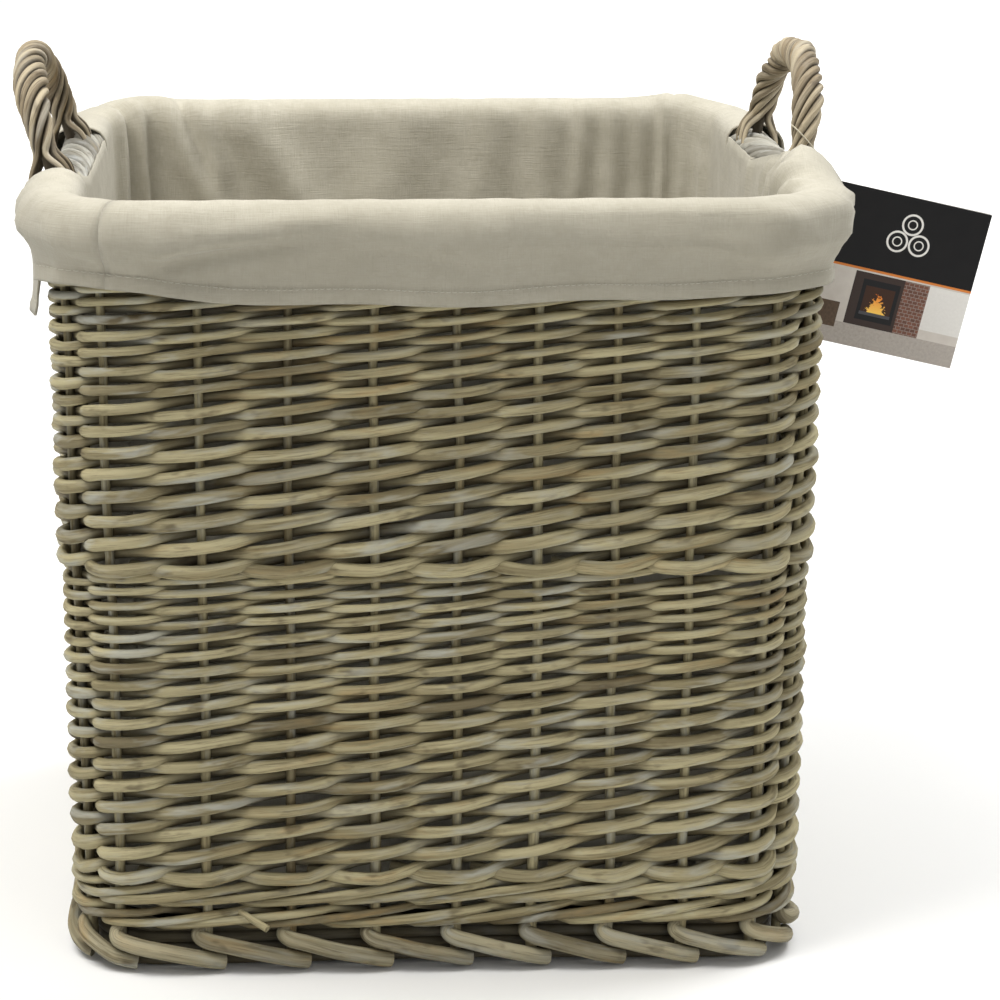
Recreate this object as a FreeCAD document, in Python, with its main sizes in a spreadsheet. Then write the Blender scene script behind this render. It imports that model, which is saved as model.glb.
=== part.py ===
"""A square willow basket with a lift-out cloth liner, two rope-twisted handles and a swing tag.

Millimetres. The origin is on the floor under the middle of the basket, +Z is up, +Y goes to the back,
and the handles are on the left (-X) and right (+X) sides.

The wall of willow is one hollow shell that leans outward. Each course of the weave is a band of that shell:
an outer and an inner layer of rods, with the upright stakes standing in the gap between them.
"""
import FreeCAD, Part
import math
import os

import Sketcher
from FreeCAD import Placement, Rotation, Vector

PARTS = "parts"
UP = Vector(0, 0, 1)
ACROSS = Vector(0, 1, 0)

# Driving dimensions, in millimetres and degrees.
SIZES = (
    ("wall_foot_half", 192.5, "half width outside the willow wall, carried down to the floor"),
    ("wall_foot_round", 44.0, "corner radius of that outline"),
    ("wall_lean", 0.021, "how far the wall leans out for each millimetre of height"),
    ("layer", 6.0, "thickness of the outer and of the inner layer of rods"),
    ("stake_gap", 5.2, "gap between the layers, which the stakes stand in"),
    ("stake_radius", 2.5, "radius of an upright stake"),
    ("stake_drift", 9.0, "how far the middle stake of the front stands off centre"),
    ("corner_reach", 12.0, "distance of a corner stake from the middle of the corner"),
    ("foot_top", 22.0, "top of the foot border"),
    ("wale_top", 51.0, "top of the wale above the foot"),
    ("lower_top", 218.0, "top of the lower band of weave"),
    ("upper_top", 380.0, "top of the upper band of weave"),
    ("collar_top", 392.0, "top of the wale under the rim"),
    ("rim_top", 410.0, "top of the rim border"),
    ("foot_spread", 4.3, "how far the foot border stands out from the wall"),
    ("foot_width", 25.0, "width of the foot border"),
    ("rim_spread", 6.3, "how far the rim border stands out from the wall"),
    ("rim_width", 24.0, "width of the rim border"),
    ("rim_round", 8.8, "rounding of the rim border's edges"),
    ("rod_play", 0.3, "clearance at the ends of stakes and base sticks"),
    ("stick_radius", 4.0, "radius of a base stick"),
    ("stick_pitch", 36.0, "distance between base sticks"),
    ("stick_level", 18.0, "height of the base sticks' axes"),
    ("base_weave", 5.4, "thickness of the weave over and under the base sticks"),
    ("base_lap", 2.0, "how far the upper weave of the base lies over the foot border"),
    ("leg_half", 75.0, "distance of a handle leg from the middle of its side"),
    ("left_root", 200.0, "distance from the centre to the left handle's legs, halfway up the rim border"),
    ("right_root", 196.0, "the same for the right handle"),
    ("handle_depth", 21.5, "how far a handle leg reaches down below that level"),
    ("spring_level", 14.0, "where the arch of the handle starts, above that level"),
    ("side_round", 42.0, "radius of the arch's two side arcs"),
    ("left_lean", 15.0, "outward lean of the left handle"),
    ("right_lean", 10.5, "outward lean of the right handle"),
    ("bow_radius", 3.4, "radius of the rod inside a handle"),
    ("rope_radius", 8.0, "outer radius of the rods twisted round it"),
    ("rope_foot", 9.8, "where the twisted rods start, above the middle of the rim border"),
    ("bore_play", 0.3, "clearance round a handle leg in its bore"),
    ("cloth", 1.5, "thickness of the liner"),
    ("liner_base", 28.6, "underside of the liner's floor"),
    ("liner_foot_gap", 18.8, "from the outside of the wall in to the liner, at the floor"),
    ("liner_head_half", 181.6, "half width outside the liner at the rim"),
    ("cuff_half", 211.5, "half width outside the liner's cuff"),
    ("cuff_over", 1.3, "gap between the rim border and the cuff lying over it"),
    ("hem_level", 356.0, "lower edge of the cuff"),
    ("cuff_end", 99.5, "where the cuff stops short of a handle, from the middle of the side"),
    ("tag_size", 86.5, "side of the square tag"),
    ("tag_sheet", 0.5, "thickness of one leaf of the tag"),
    ("tag_slit", 0.6, "gap between the tag's two leaves"),
    ("tag_inset", 7.0, "distance of the tag's hole from its edges"),
    ("tag_hole", 2.4, "radius of the tag's hole"),
    ("tag_tilt", 13.0, "how far the tag hangs from square"),
    ("tag_place_x", 224.7, "X of the tag's hole"),
    ("tag_place_z", 394.1, "Z of the tag's hole"),
    ("tie_inner_x", 189.0, "X of the tie's inner end"),
    ("tie_inner_z", 421.0, "Z of the tie's inner end"),
    ("tie_radius", 0.8, "radius of the tie's cord"),
)

SIDE_STAKES = 9
STICKS = 9
CUT = 2000.0
BORE_REACH = 80.0
CLEAR = 300.0
SIDES = {"front": 0, "right": 90, "back": 180, "left": 270}
HANDLES = {"left": -1, "right": 1}

doc = FreeCAD.newDocument("log_basket")
sheet = doc.addObject("Spreadsheet::Sheet", "Sizes")
for row, (alias, number, meaning) in enumerate(SIZES, start=1):
    sheet.set("A%d" % row, meaning)
    sheet.set("B%d" % row, str(number))
    sheet.setAlias("B%d" % row, alias)
doc.recompute()

sub_parts = []


def size(expression):
    """The value of an expression of the sheet's names."""
    result = sheet.evalExpression(expression)
    return float(getattr(result, "Value", result))


def of_sheet(expression):
    """The same expression as another object refers to it."""
    words = sorted((alias for alias, number, meaning in SIZES), key=len, reverse=True)
    for index, word in enumerate(words):
        expression = expression.replace(word, "<%d>" % index)
    for index, word in enumerate(words):
        expression = expression.replace("<%d>" % index, "Sizes." + word)
    return expression


def bind(thing, attribute, expression):
    thing.setExpression(attribute, of_sheet(expression))


# ---------------------------------------------------------------- outlines of the wall

def wall_half(level, inset="0"):
    """Half width of the wall's outline at a height, moved in by an inset."""
    return "wall_foot_half + wall_lean * (%s) - (%s)" % (level, inset)


def wall_round(level, inset="0"):
    """Corner radius of the same outline, which keeps parallel to the wall."""
    return "wall_foot_round + wall_lean * (%s) - (%s)" % (level, inset)


OUTSIDE = "0"
OUTER_FACE = "layer"
INNER_FACE = "layer + stake_gap"
INSIDE = "2 * layer + stake_gap"
STAKE_LINE = "layer + stake_gap / 2"


# ---------------------------------------------------------------- building blocks

def new_body(label):
    body = doc.addObject("PartDesign::Body", label)
    body.Label = label
    body.AllowCompound = True
    sub_parts.append(body)
    return body


def plane_of(body, role):
    return next(feature for feature in body.Origin.OriginFeatures if feature.Role == role)


def new_sketch(body, name, role="XY_Plane", level="0"):
    sketch = body.newObject("Sketcher::SketchObject", name)
    sketch.AttachmentSupport = [(plane_of(body, role), "")]
    sketch.MapMode = "FlatFace"
    bind(sketch, ".AttachmentOffset.Base.z", level)
    return sketch


def dimension(sketch, name, constraint, expression):
    """Add a constraint that keeps a distance or radius equal to an expression of the sheet."""
    index = sketch.addConstraint(constraint)
    sketch.renameConstraint(index, name)
    bind(sketch, "Constraints." + name, expression)


def rounded_square(body, name, level, half, radius):
    """Sketch a square with round corners, centred on the body's axis."""
    sketch = new_sketch(body, name, level=level)
    reach = size(half)
    bend = size(radius)
    flat = reach - bend
    quarter = math.pi / 2
    for turn, (x, y) in enumerate(((flat, -flat), (flat, flat), (-flat, flat), (-flat, -flat))):
        circle = Part.Circle(Vector(x, y, 0), UP, bend)
        sketch.addGeometry(Part.ArcOfCircle(circle, (turn - 1) * quarter, turn * quarter))
    edges = (
        (reach, -flat, reach, flat),
        (flat, reach, -flat, reach),
        (-reach, flat, -reach, -flat),
        (-flat, -reach, flat, -reach),
    )
    for x0, y0, x1, y1 in edges:
        sketch.addGeometry(Part.LineSegment(Vector(x0, y0, 0), Vector(x1, y1, 0)))
    for corner in range(4):
        edge = 4 + corner
        sketch.addConstraint(Sketcher.Constraint("Tangent", corner, 2, edge, 1))
        sketch.addConstraint(Sketcher.Constraint("Tangent", edge, 2, (corner + 1) % 4, 1))
    for edge, direction in ((4, "Vertical"), (5, "Horizontal"), (6, "Vertical"), (7, "Horizontal")):
        sketch.addConstraint(Sketcher.Constraint(direction, edge))
    for corner in (1, 2, 3):
        sketch.addConstraint(Sketcher.Constraint("Equal", 0, corner))
    dimension(sketch, "bend", Sketcher.Constraint("Radius", 0, bend), radius)
    dimension(sketch, "right", Sketcher.Constraint("DistanceX", -1, 1, 4, 1, reach), half)
    dimension(sketch, "back", Sketcher.Constraint("DistanceY", -1, 1, 5, 1, reach), half)
    dimension(sketch, "left", Sketcher.Constraint("DistanceX", 6, 1, -1, 1, reach), half)
    dimension(sketch, "front", Sketcher.Constraint("DistanceY", 7, 1, -1, 1, reach), half)
    return sketch


def add_pad(body, name, sketch, length):
    pad = body.newObject("PartDesign::Pad", name)
    pad.Profile = sketch
    bind(pad, "Length", length)
    doc.recompute()
    return pad


def cut_through(body, name, sketch, length=None):
    """Pocket a sketch, both ways right through the body or upward by a length."""
    before = body.Shape.Volume
    pocket = body.newObject("PartDesign::Pocket", name)
    pocket.Profile = sketch
    if length is None:
        pocket.Length = CUT
        pocket.Midplane = True
    else:
        bind(pocket, "Length", length)
        pocket.Reversed = True
    doc.recompute()
    if body.Shape.Volume > before - 0.1:
        raise RuntimeError("%s cuts nothing from %s" % (name, body.Label))
    return pocket


def loft(body, name, kind, level0, level1, inset0, inset1=None):
    """A block between two heights, moved in from the wall's outline, added to a body or cut from it."""
    inset1 = inset0 if inset1 is None else inset1
    ends = []
    for end, level, inset in (("_low", level0, inset0), ("_high", level1, inset1)):
        half = wall_half(level, inset)
        ends.append(rounded_square(body, name + end, level, half, wall_round(level, inset)))
    feature = body.newObject(kind, name)
    feature.Profile = ends[0]
    feature.Sections = [ends[1]]
    feature.Ruled = True
    doc.recompute()
    return feature


def wall_layer(body, name, level0, level1, outer, inner):
    """One layer of the wall: the shell between two insets, from one height to another."""
    loft(body, name + "_out", "PartDesign::AdditiveLoft", level0, level1, outer)
    full = body.Shape.Volume
    loft(body, name + "_in", "PartDesign::SubtractiveLoft", level0, level1, inner)
    if body.Shape.Volume > full * 0.9:
        raise RuntimeError("%s is not hollow" % body.Label)


def straight_ring(body, level0, level1, half, radius, width):
    """An upright ring between two heights, of a constant width."""
    outer = rounded_square(body, "outer", level0, half, radius)
    add_pad(body, "ring", outer, "(%s) - (%s)" % (level1, level0))
    inner = rounded_square(body, "inner", level0, "%s - (%s)" % (half, width), "%s - (%s)" % (radius, width))
    cut_through(body, "hollow", inner)


# ---------------------------------------------------------------- the willow

def foot_border():
    """The plaited border that the basket stands on."""
    body = new_body("foot_border")
    half = wall_half("foot_top", "-foot_spread")
    straight_ring(body, "0", "foot_top", half, wall_round("foot_top", "-foot_spread"), "foot_width")


def woven_band(label, level0, level1):
    """A band of weave: an outer and an inner layer of rods, with the stakes' gap between them."""
    body = new_body(label)
    wall_layer(body, "outer_layer", level0, level1, OUTSIDE, OUTER_FACE)
    wall_layer(body, "inner_layer", level0, level1, INNER_FACE, INSIDE)


def handle_bores(body):
    """Four bores, which the handles' legs stand in, at each handle's own lean."""
    for side, sign in HANDLES.items():
        sketch = new_sketch(body, "bores_" + side)
        turn = Rotation(ACROSS, sign * size(side + "_lean"))
        level = size("(collar_top + rim_top) / 2")
        sketch.AttachmentOffset = Placement(Vector(sign * size(side + "_root"), 0, level), turn)
        bind(sketch, ".AttachmentOffset.Base.z", "(collar_top + rim_top) / 2")
        bind(sketch, ".AttachmentOffset.Base.x", "%d * %s_root" % (sign, side))
        for end, name in ((-1, "near"), (1, "far")):
            place = Vector(0, end * size("leg_half"), 0)
            index = sketch.addGeometry(Part.Circle(place, UP, size("bow_radius + bore_play")))
            sketch.addConstraint(Sketcher.Constraint("PointOnObject", index, 3, -2))
            radius = Sketcher.Constraint("Radius", index, size("bow_radius + bore_play"))
            dimension(sketch, name + "_bore", radius, "bow_radius + bore_play")
            points = (-1, 1, index, 3) if end > 0 else (index, 3, -1, 1)
            reach = Sketcher.Constraint("DistanceY", *points, size("leg_half"))
            dimension(sketch, name + "_leg", reach, "leg_half")
        before = body.Shape.Volume
        pocket = body.newObject("PartDesign::Pocket", "bore_cut_" + side)
        pocket.Profile = sketch
        pocket.Length = BORE_REACH
        pocket.Midplane = True
        doc.recompute()
        if body.Shape.Volume > before - 100:
            raise RuntimeError("the %s bores miss %s" % (side, body.Label))


def collar_wale():
    """The wale under the rim: a solid ring that carries the handles' legs."""
    body = new_body("collar_wale")
    wall_layer(body, "ring", "upper_top", "collar_top", OUTSIDE, INSIDE)
    handle_bores(body)


def rim_border():
    """The rounded border that closes the top of the wall."""
    body = new_body("rim_border")
    half = wall_half("collar_top", "-rim_spread")
    straight_ring(body, "collar_top", "rim_top", half, wall_round("collar_top", "-rim_spread"), "rim_width")
    flat_levels = (size("collar_top"), size("rim_top"))
    ring = body.Tip
    edges = []
    for index, edge in enumerate(ring.Shape.Edges, start=1):
        low, high = edge.BoundBox.ZMin, edge.BoundBox.ZMax
        if high - low < 0.01 and any(abs(low - level) < 0.01 for level in flat_levels):
            edges.append("Edge%d" % index)
    fillet = body.newObject("PartDesign::Fillet", "rounding")
    fillet.Base = (ring, edges)
    bind(fillet, "Radius", "rim_round")
    doc.recompute()
    handle_bores(body)


def rods(label, ends, radius, length):
    """Straight round rods, each given by its two end points, as one group of separate solids."""
    group = []
    for number, (start, finish) in enumerate(ends, start=1):
        rod = doc.addObject("Part::Cylinder", "%s_%d" % (label, number))
        bind(rod, "Radius", radius)
        bind(rod, "Height", length)
        rod.Placement = Placement(start, Rotation(UP, finish - start))
        group.append(rod)
    compound = doc.addObject("Part::Compound", label)
    compound.Label = label
    compound.Links = group
    sub_parts.append(compound)


def outline_point(level, along):
    """A point of the stakes' outline at a height, at a distance from the middle of the front's left corner.

    The outline is walked from the front left corner to the front right one; the distance is measured at
    half the wall's height, so that a stake keeps its place on the outline all the way up.
    """
    middle = size("(foot_top + upper_top) / 2")
    bend = size(wall_round(repr(middle), STAKE_LINE))
    flat = size(wall_half(repr(middle), STAKE_LINE)) - bend
    eighth = bend * math.pi / 4
    bend_here = size(wall_round(repr(level), STAKE_LINE))
    if along < eighth:
        angle = (along - eighth) / bend
        centre = -flat
    elif along > eighth + 2 * flat:
        angle = (along - eighth - 2 * flat) / bend
        centre = flat
    else:
        return Vector(along - eighth - flat, -flat - bend_here, level)
    return Vector(centre + bend_here * math.sin(angle), -flat - bend_here * math.cos(angle), level)


def stakes():
    """Nine stakes to a side; the two at each end of a side stand round the corners."""
    middle = size("(foot_top + upper_top) / 2")
    bend = size(wall_round(repr(middle), STAKE_LINE))
    side = 2 * (size(wall_half(repr(middle), STAKE_LINE)) - bend) + bend * math.pi / 2
    reach = size("corner_reach")
    pitch = (side - 2 * reach) / (SIDE_STAKES - 1)
    low = size("foot_top + rod_play")
    high = size("upper_top - rod_play")
    length = "(upper_top - foot_top - 2 * rod_play) * sqrt(1 + wall_lean ^ 2)"
    corners = []
    for name, angle in SIDES.items():
        turn = Rotation(UP, angle)
        drift = size("stake_drift") if name == "front" else 0.0
        straight = []
        for number in range(SIDE_STAKES):
            share = number / (SIDE_STAKES - 1)
            along = reach + number * pitch + drift * math.sin(math.pi * share)
            stake = tuple(turn.multVec(outline_point(level, along)) for level in (low, high))
            (corners if number in (0, SIDE_STAKES - 1) else straight).append(stake)
        rods("stakes_" + name, straight, "stake_radius", length)
    rods("stakes_corners", corners, "stake_radius", length)


def base_sticks():
    """Thick sticks from front to back, side by side, which the base is woven on."""
    reach = wall_half("foot_top", "foot_width - foot_spread + rod_play")
    half = size(reach)
    level = size("stick_level")
    ends = []
    for number in range(STICKS):
        x = (number - (STICKS - 1) / 2) * size("stick_pitch")
        ends.append((Vector(x, -half, level), Vector(x, half, level)))
    rods("base_sticks", ends, "stick_radius", "2 * (%s)" % reach)


def base_weave():
    """The weave over and under the base sticks; the upper one lies on the foot border."""
    body = new_body("base_weave")
    low = "stick_level - stick_radius - base_weave"
    for name, level, play in (("under", low, "rod_play"), ("over", "foot_top", "-base_lap")):
        inset = "foot_width - foot_spread + (%s)" % play
        outline = rounded_square(body, name, level, wall_half("foot_top", inset), wall_round("foot_top", inset))
        add_pad(body, name + "_weave", outline, "base_weave")


# ---------------------------------------------------------------- the handles

def handle_path(body, name, foot):
    """The handle's centre line in its own plane: two legs and a basket arch of three arcs."""
    sketch = new_sketch(body, name, role="YZ_Plane")
    reach = size("leg_half")
    spring = size("spring_level")
    side = size("side_round")
    crown = 2 * reach - side
    sixth = math.pi / 3
    start = size(foot)
    near = Vector(-reach + side, spring, 0)
    far = Vector(reach - side, spring, 0)
    top = Vector(0, spring - (crown - side) * math.sin(sixth), 0)
    sketch.addGeometry(Part.LineSegment(Vector(-reach, start, 0), Vector(-reach, spring, 0)))
    sketch.addGeometry(Part.ArcOfCircle(Part.Circle(near, UP, side), 2 * sixth, 3 * sixth))
    sketch.addGeometry(Part.ArcOfCircle(Part.Circle(top, UP, crown), sixth, 2 * sixth))
    sketch.addGeometry(Part.ArcOfCircle(Part.Circle(far, UP, side), 0, sixth))
    sketch.addGeometry(Part.LineSegment(Vector(reach, spring, 0), Vector(reach, start, 0)))
    joints = ((0, 2, 1, 2), (1, 1, 2, 2), (2, 1, 3, 2), (3, 1, 4, 1))
    for joint in joints:
        sketch.addConstraint(Sketcher.Constraint("Tangent", *joint))
    sketch.addConstraint(Sketcher.Constraint("Vertical", 0))
    sketch.addConstraint(Sketcher.Constraint("Vertical", 4))
    sketch.addConstraint(Sketcher.Constraint("Equal", 1, 3))
    dimension(sketch, "side", Sketcher.Constraint("Radius", 1, side), "side_round")
    dimension(sketch, "crown", Sketcher.Constraint("Radius", 2, crown), "2 * leg_half - side_round")
    dimension(sketch, "near_leg", Sketcher.Constraint("DistanceX", 0, 1, -1, 1, reach), "leg_half")
    dimension(sketch, "far_leg", Sketcher.Constraint("DistanceX", -1, 1, 4, 2, reach), "leg_half")
    for name, index, high, low in (("near", 0, 2, 1), ("far", 4, 1, 2)):
        spring_height = Sketcher.Constraint("DistanceY", -1, 1, index, high, spring)
        dimension(sketch, name + "_spring", spring_height, "spring_level")
        leg_length = Sketcher.Constraint("DistanceY", index, low, index, high, spring - start)
        dimension(sketch, name + "_length", leg_length, "spring_level - (%s)" % foot)
    return sketch


def circle_sketch(body, name, level, radius):
    """A circle round the near leg's axis."""
    sketch = new_sketch(body, name, level=level)
    index = sketch.addGeometry(Part.Circle(Vector(0, -size("leg_half"), 0), UP, size(radius)))
    sketch.addConstraint(Sketcher.Constraint("PointOnObject", index, 3, -2))
    dimension(sketch, "radius", Sketcher.Constraint("Radius", index, size(radius)), radius)
    reach = Sketcher.Constraint("DistanceY", index, 3, -1, 1, size("leg_half"))
    dimension(sketch, "leg", reach, "leg_half")
    return sketch


def sweep(body, name, kind, profile, path):
    pipe = body.newObject(kind, name)
    pipe.Profile = profile
    pipe.Spine = path
    doc.recompute()


def place_handle(body, side):
    """Stand a handle in the middle of its side, leaning outward."""
    sign = HANDLES[side]
    turn = Rotation(ACROSS, sign * size(side + "_lean"))
    place = Vector(sign * size(side + "_root"), 0, size("(collar_top + rim_top) / 2"))
    body.Placement = Placement(place, turn)


def handle(side):
    """A bent rod, with thinner rods twisted round it above the rim."""
    bow = new_body("handle_bow_" + side)
    path = handle_path(bow, "bow_path", "-handle_depth")
    profile = circle_sketch(bow, "bow_section", "-handle_depth", "bow_radius")
    sweep(bow, "bow", "PartDesign::AdditivePipe", profile, path)
    place_handle(bow, side)

    wrap = new_body("handle_wrap_" + side)
    path = handle_path(wrap, "wrap_path", "rope_foot")
    profile = circle_sketch(wrap, "rope_section", "rope_foot", "rope_radius")
    sweep(wrap, "rope", "PartDesign::AdditivePipe", profile, path)
    profile = circle_sketch(wrap, "core_section", "rope_foot", "bow_radius")
    sweep(wrap, "core", "PartDesign::SubtractivePipe", profile, path)
    place_handle(wrap, side)


# ---------------------------------------------------------------- the liner

def liner_floor():
    body = new_body("liner_floor")
    half = wall_half("liner_base + cloth", "liner_foot_gap")
    outline = rounded_square(body, "floor", "liner_base", half, wall_round("liner_base", "liner_foot_gap"))
    add_pad(body, "floor_cloth", outline, "cloth")


def liner_wall(side):
    """One of the liner's four wall panels, with half of each corner."""
    body = new_body("liner_wall_" + side)
    low = "liner_base + cloth"
    high = "rim_top + cuff_over"
    foot = "liner_foot_gap"
    head = "(%s) - liner_head_half" % wall_half(high)
    kinds = (("out", "PartDesign::AdditiveLoft", "0"), ("in", "PartDesign::SubtractiveLoft", "cloth"))
    for name, kind, inset in kinds:
        insets = ("%s + %s" % (foot, inset), "%s + %s" % (head, inset))
        loft(body, "wall_" + name, kind, low, high, *insets)
    wedge = new_sketch(body, "other_sides")
    add_polygon(wedge, ((0, 0), (CLEAR, -CLEAR), (CLEAR, CLEAR), (-CLEAR, CLEAR), (-CLEAR, -CLEAR)))
    cut_through(body, "panel", wedge)
    body.Placement = Placement(Vector(), Rotation(UP, SIDES[side]))


def add_polygon(sketch, corners):
    """A closed outline of straight lines."""
    points = [Vector(x, y, 0) for x, y in corners]
    for index, point in enumerate(points):
        sketch.addGeometry(Part.LineSegment(point, points[(index + 1) % len(points)]))
    for index in range(len(points)):
        sketch.addConstraint(Sketcher.Constraint("Coincident", index, 2, (index + 1) % len(points), 1))


def sketch_square(sketch):
    """Keep a four-sided outline's first and third sides level and its other two upright."""
    for index, direction in enumerate(("Horizontal", "Vertical", "Horizontal", "Vertical")):
        sketch.addConstraint(Sketcher.Constraint(direction, index))


def liner_cuff(side):
    """The part of the liner turned down over the rim, round the front or the back of the basket."""
    body = new_body("liner_cuff_" + side)
    head = "rim_top + cuff_over"
    spread = "cuff_half - (%s)" % wall_half("collar_top")
    bend = "(%s) + (%s)" % (wall_round("collar_top"), spread)
    outline = rounded_square(body, "cuff", "hem_level", "cuff_half", bend)
    add_pad(body, "cuff_block", outline, "%s + cloth - hem_level" % head)
    inner = rounded_square(body, "cuff_inside", "hem_level", "cuff_half - cloth", bend + " - cloth")
    cut_through(body, "turned_down", inner, "%s - hem_level" % head)
    mouth_half = "liner_head_half - cloth"
    mouth_bend = "%s - ((%s) - liner_head_half) - cloth" % (wall_round(head), wall_half(head))
    mouth = rounded_square(body, "mouth", head, mouth_half, mouth_bend)
    cut_through(body, "opening", mouth)
    rest = new_sketch(body, "other_side")
    front = -size("cuff_end")
    add_polygon(rest, ((-CLEAR, front), (CLEAR, front), (CLEAR, CLEAR), (-CLEAR, CLEAR)))
    sketch_square(rest)
    dimension(rest, "slot", Sketcher.Constraint("DistanceY", 0, 1, -1, 1, -front), "cuff_end")
    cut_through(body, "handle_slot", rest)
    body.Placement = Placement(Vector(), Rotation(UP, SIDES[side]))


# ---------------------------------------------------------------- the tag

def tag_card():
    """A folded card: two leaves joined along the fold, with one hole through both.

    It is drawn flat in the XZ plane, with its hole at the body's origin.
    """
    body = new_body("tag_card")
    thick = "2 * tag_sheet + tag_slit"
    sketch = new_sketch(body, "card", role="XZ_Plane", level="-(%s) / 2" % thick)
    inset = size("tag_inset")
    side = size("tag_size")
    far = side - inset
    add_polygon(sketch, ((-inset, inset), (far, inset), (far, -far), (-inset, -far)))
    sketch_square(sketch)
    dimension(sketch, "width", Sketcher.Constraint("DistanceX", 0, 1, 0, 2, side), "tag_size")
    dimension(sketch, "height", Sketcher.Constraint("DistanceY", 1, 2, 1, 1, side), "tag_size")
    dimension(sketch, "left_margin", Sketcher.Constraint("DistanceX", 0, 1, -1, 1, inset), "tag_inset")
    dimension(sketch, "top_margin", Sketcher.Constraint("DistanceY", -1, 1, 0, 1, inset), "tag_inset")
    add_pad(body, "leaves", sketch, thick)
    slit = new_sketch(body, "slit", role="XZ_Plane", level="-tag_slit / 2")
    fold = size("tag_sheet") - inset
    add_polygon(slit, ((fold, CLEAR), (CLEAR, CLEAR), (CLEAR, -CLEAR), (fold, -CLEAR)))
    sketch_square(slit)
    before = body.Shape.Volume
    pocket = body.newObject("PartDesign::Pocket", "between_leaves")
    pocket.Profile = slit
    bind(pocket, "Length", "tag_slit")
    pocket.Reversed = True
    doc.recompute()
    if body.Shape.Volume > before - 100:
        raise RuntimeError("the tag is not split")
    hole = new_sketch(body, "hole", role="XZ_Plane")
    index = hole.addGeometry(Part.Circle(Vector(), UP, size("tag_hole")))
    hole.addConstraint(Sketcher.Constraint("Coincident", index, 3, -1, 1))
    dimension(hole, "radius", Sketcher.Constraint("Radius", index, size("tag_hole")), "tag_hole")
    cut_through(body, "tie_hole", hole)
    place = Vector(size("tag_place_x"), -size("leg_half"), size("tag_place_z"))
    body.Placement = Placement(place, Rotation(ACROSS, size("tag_tilt")))


def tag_tie():
    """A plastic loop round the near leg of the right handle and through the tag's hole."""
    inner = Vector(size("tie_inner_x"), -size("leg_half"), size("tie_inner_z"))
    outer = Vector(size("tag_place_x"), -size("leg_half"), size("tag_place_z"))
    loop = doc.addObject("Part::Torus", "tag_tie")
    loop.Label = "tag_tie"
    reach = "sqrt((tag_place_x - tie_inner_x) ^ 2 + (tag_place_z - tie_inner_z) ^ 2) / 2"
    bind(loop, "Radius1", reach)
    bind(loop, "Radius2", "tie_radius")
    loop.Placement = Placement((inner + outer) / 2, Rotation(UP, (outer - inner).cross(ACROSS)))
    sub_parts.append(loop)


# ---------------------------------------------------------------- build, check and write

foot_border()
base_sticks()
base_weave()
woven_band("upsett_wale", "foot_top", "wale_top")
woven_band("lower_rand", "wale_top", "lower_top")
woven_band("upper_rand", "lower_top", "upper_top")
collar_wale()
rim_border()
stakes()
for side_name in HANDLES:
    handle(side_name)
liner_floor()
for side_name in SIDES:
    liner_wall(side_name)
for side_name in ("front", "back"):
    liner_cuff(side_name)
tag_card()
tag_tie()
doc.recompute()

for thing in doc.Objects:
    if "Invalid" in thing.State or "Error" in thing.State:
        raise RuntimeError("%s failed: %s" % (thing.Label, thing.State))
for sub_part in sub_parts:
    if sub_part.Shape.isNull() or not sub_part.Shape.isValid():
        raise RuntimeError("%s has no valid shape" % sub_part.Label)

os.makedirs(PARTS, exist_ok=True)
for sub_part in sub_parts:
    sub_part.Shape.exportStep(os.path.join(PARTS, sub_part.Label + ".step"))
    print("%-20s %2d solids %12.1f mm3" % (sub_part.Label, len(sub_part.Shape.Solids), sub_part.Shape.Volume))
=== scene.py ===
"""A square willow log basket with a cloth liner, rope-twisted handles and a swing tag.

Everything is in metres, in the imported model's frame: origin on the floor under the middle of the basket,
+X to the right handle, +Y to the back, +Z up.
"""
import math

import bpy
import numpy as np
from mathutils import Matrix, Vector


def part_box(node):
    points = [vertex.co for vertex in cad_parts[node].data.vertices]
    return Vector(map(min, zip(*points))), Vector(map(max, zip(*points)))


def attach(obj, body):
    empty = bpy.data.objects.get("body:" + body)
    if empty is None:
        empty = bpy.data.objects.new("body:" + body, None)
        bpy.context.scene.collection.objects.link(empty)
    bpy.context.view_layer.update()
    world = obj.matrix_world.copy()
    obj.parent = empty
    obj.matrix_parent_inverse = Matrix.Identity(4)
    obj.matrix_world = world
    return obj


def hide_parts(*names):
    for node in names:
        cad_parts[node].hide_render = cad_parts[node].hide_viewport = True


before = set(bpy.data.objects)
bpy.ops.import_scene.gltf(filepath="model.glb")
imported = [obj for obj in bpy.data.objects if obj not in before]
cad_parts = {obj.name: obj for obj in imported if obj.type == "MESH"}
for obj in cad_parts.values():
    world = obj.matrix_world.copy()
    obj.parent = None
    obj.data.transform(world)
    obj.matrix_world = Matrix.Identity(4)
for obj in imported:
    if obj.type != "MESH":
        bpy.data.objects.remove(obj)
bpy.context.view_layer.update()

MM = 0.001
TAU = 2 * math.pi
Y_WAY, UP = np.array([0, 1.0, 0]), np.array([0, 0, 1.0])
SIDE_STAKES = 9
STAKES = 4 * SIDE_STAKES

rng = np.random.default_rng(7)

FOOT_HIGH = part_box("foot_border")[1]
WALE_LOW, WALE_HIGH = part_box("upsett_wale")
LOWER_LOW, LOWER_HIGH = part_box("lower_rand")
UPPER_LOW, UPPER_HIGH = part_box("upper_rand")
COLLAR_LOW, COLLAR_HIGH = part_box("collar_wale")
RIM_LOW, RIM_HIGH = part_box("rim_border")


# ---- the basket's outline

WALL_LEAN = (UPPER_HIGH.x - LOWER_HIGH.x) / (UPPER_HIGH.z - LOWER_HIGH.z)
WALL_HALF = LOWER_HIGH.x - WALL_LEAN * LOWER_HIGH.z
WALL_ROUND = 44.0 * MM
STAKE_INSET = 8.6 * MM
CORNER_REACH = 12.0 * MM
STAKE_DRIFT = 9.0 * MM

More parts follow.
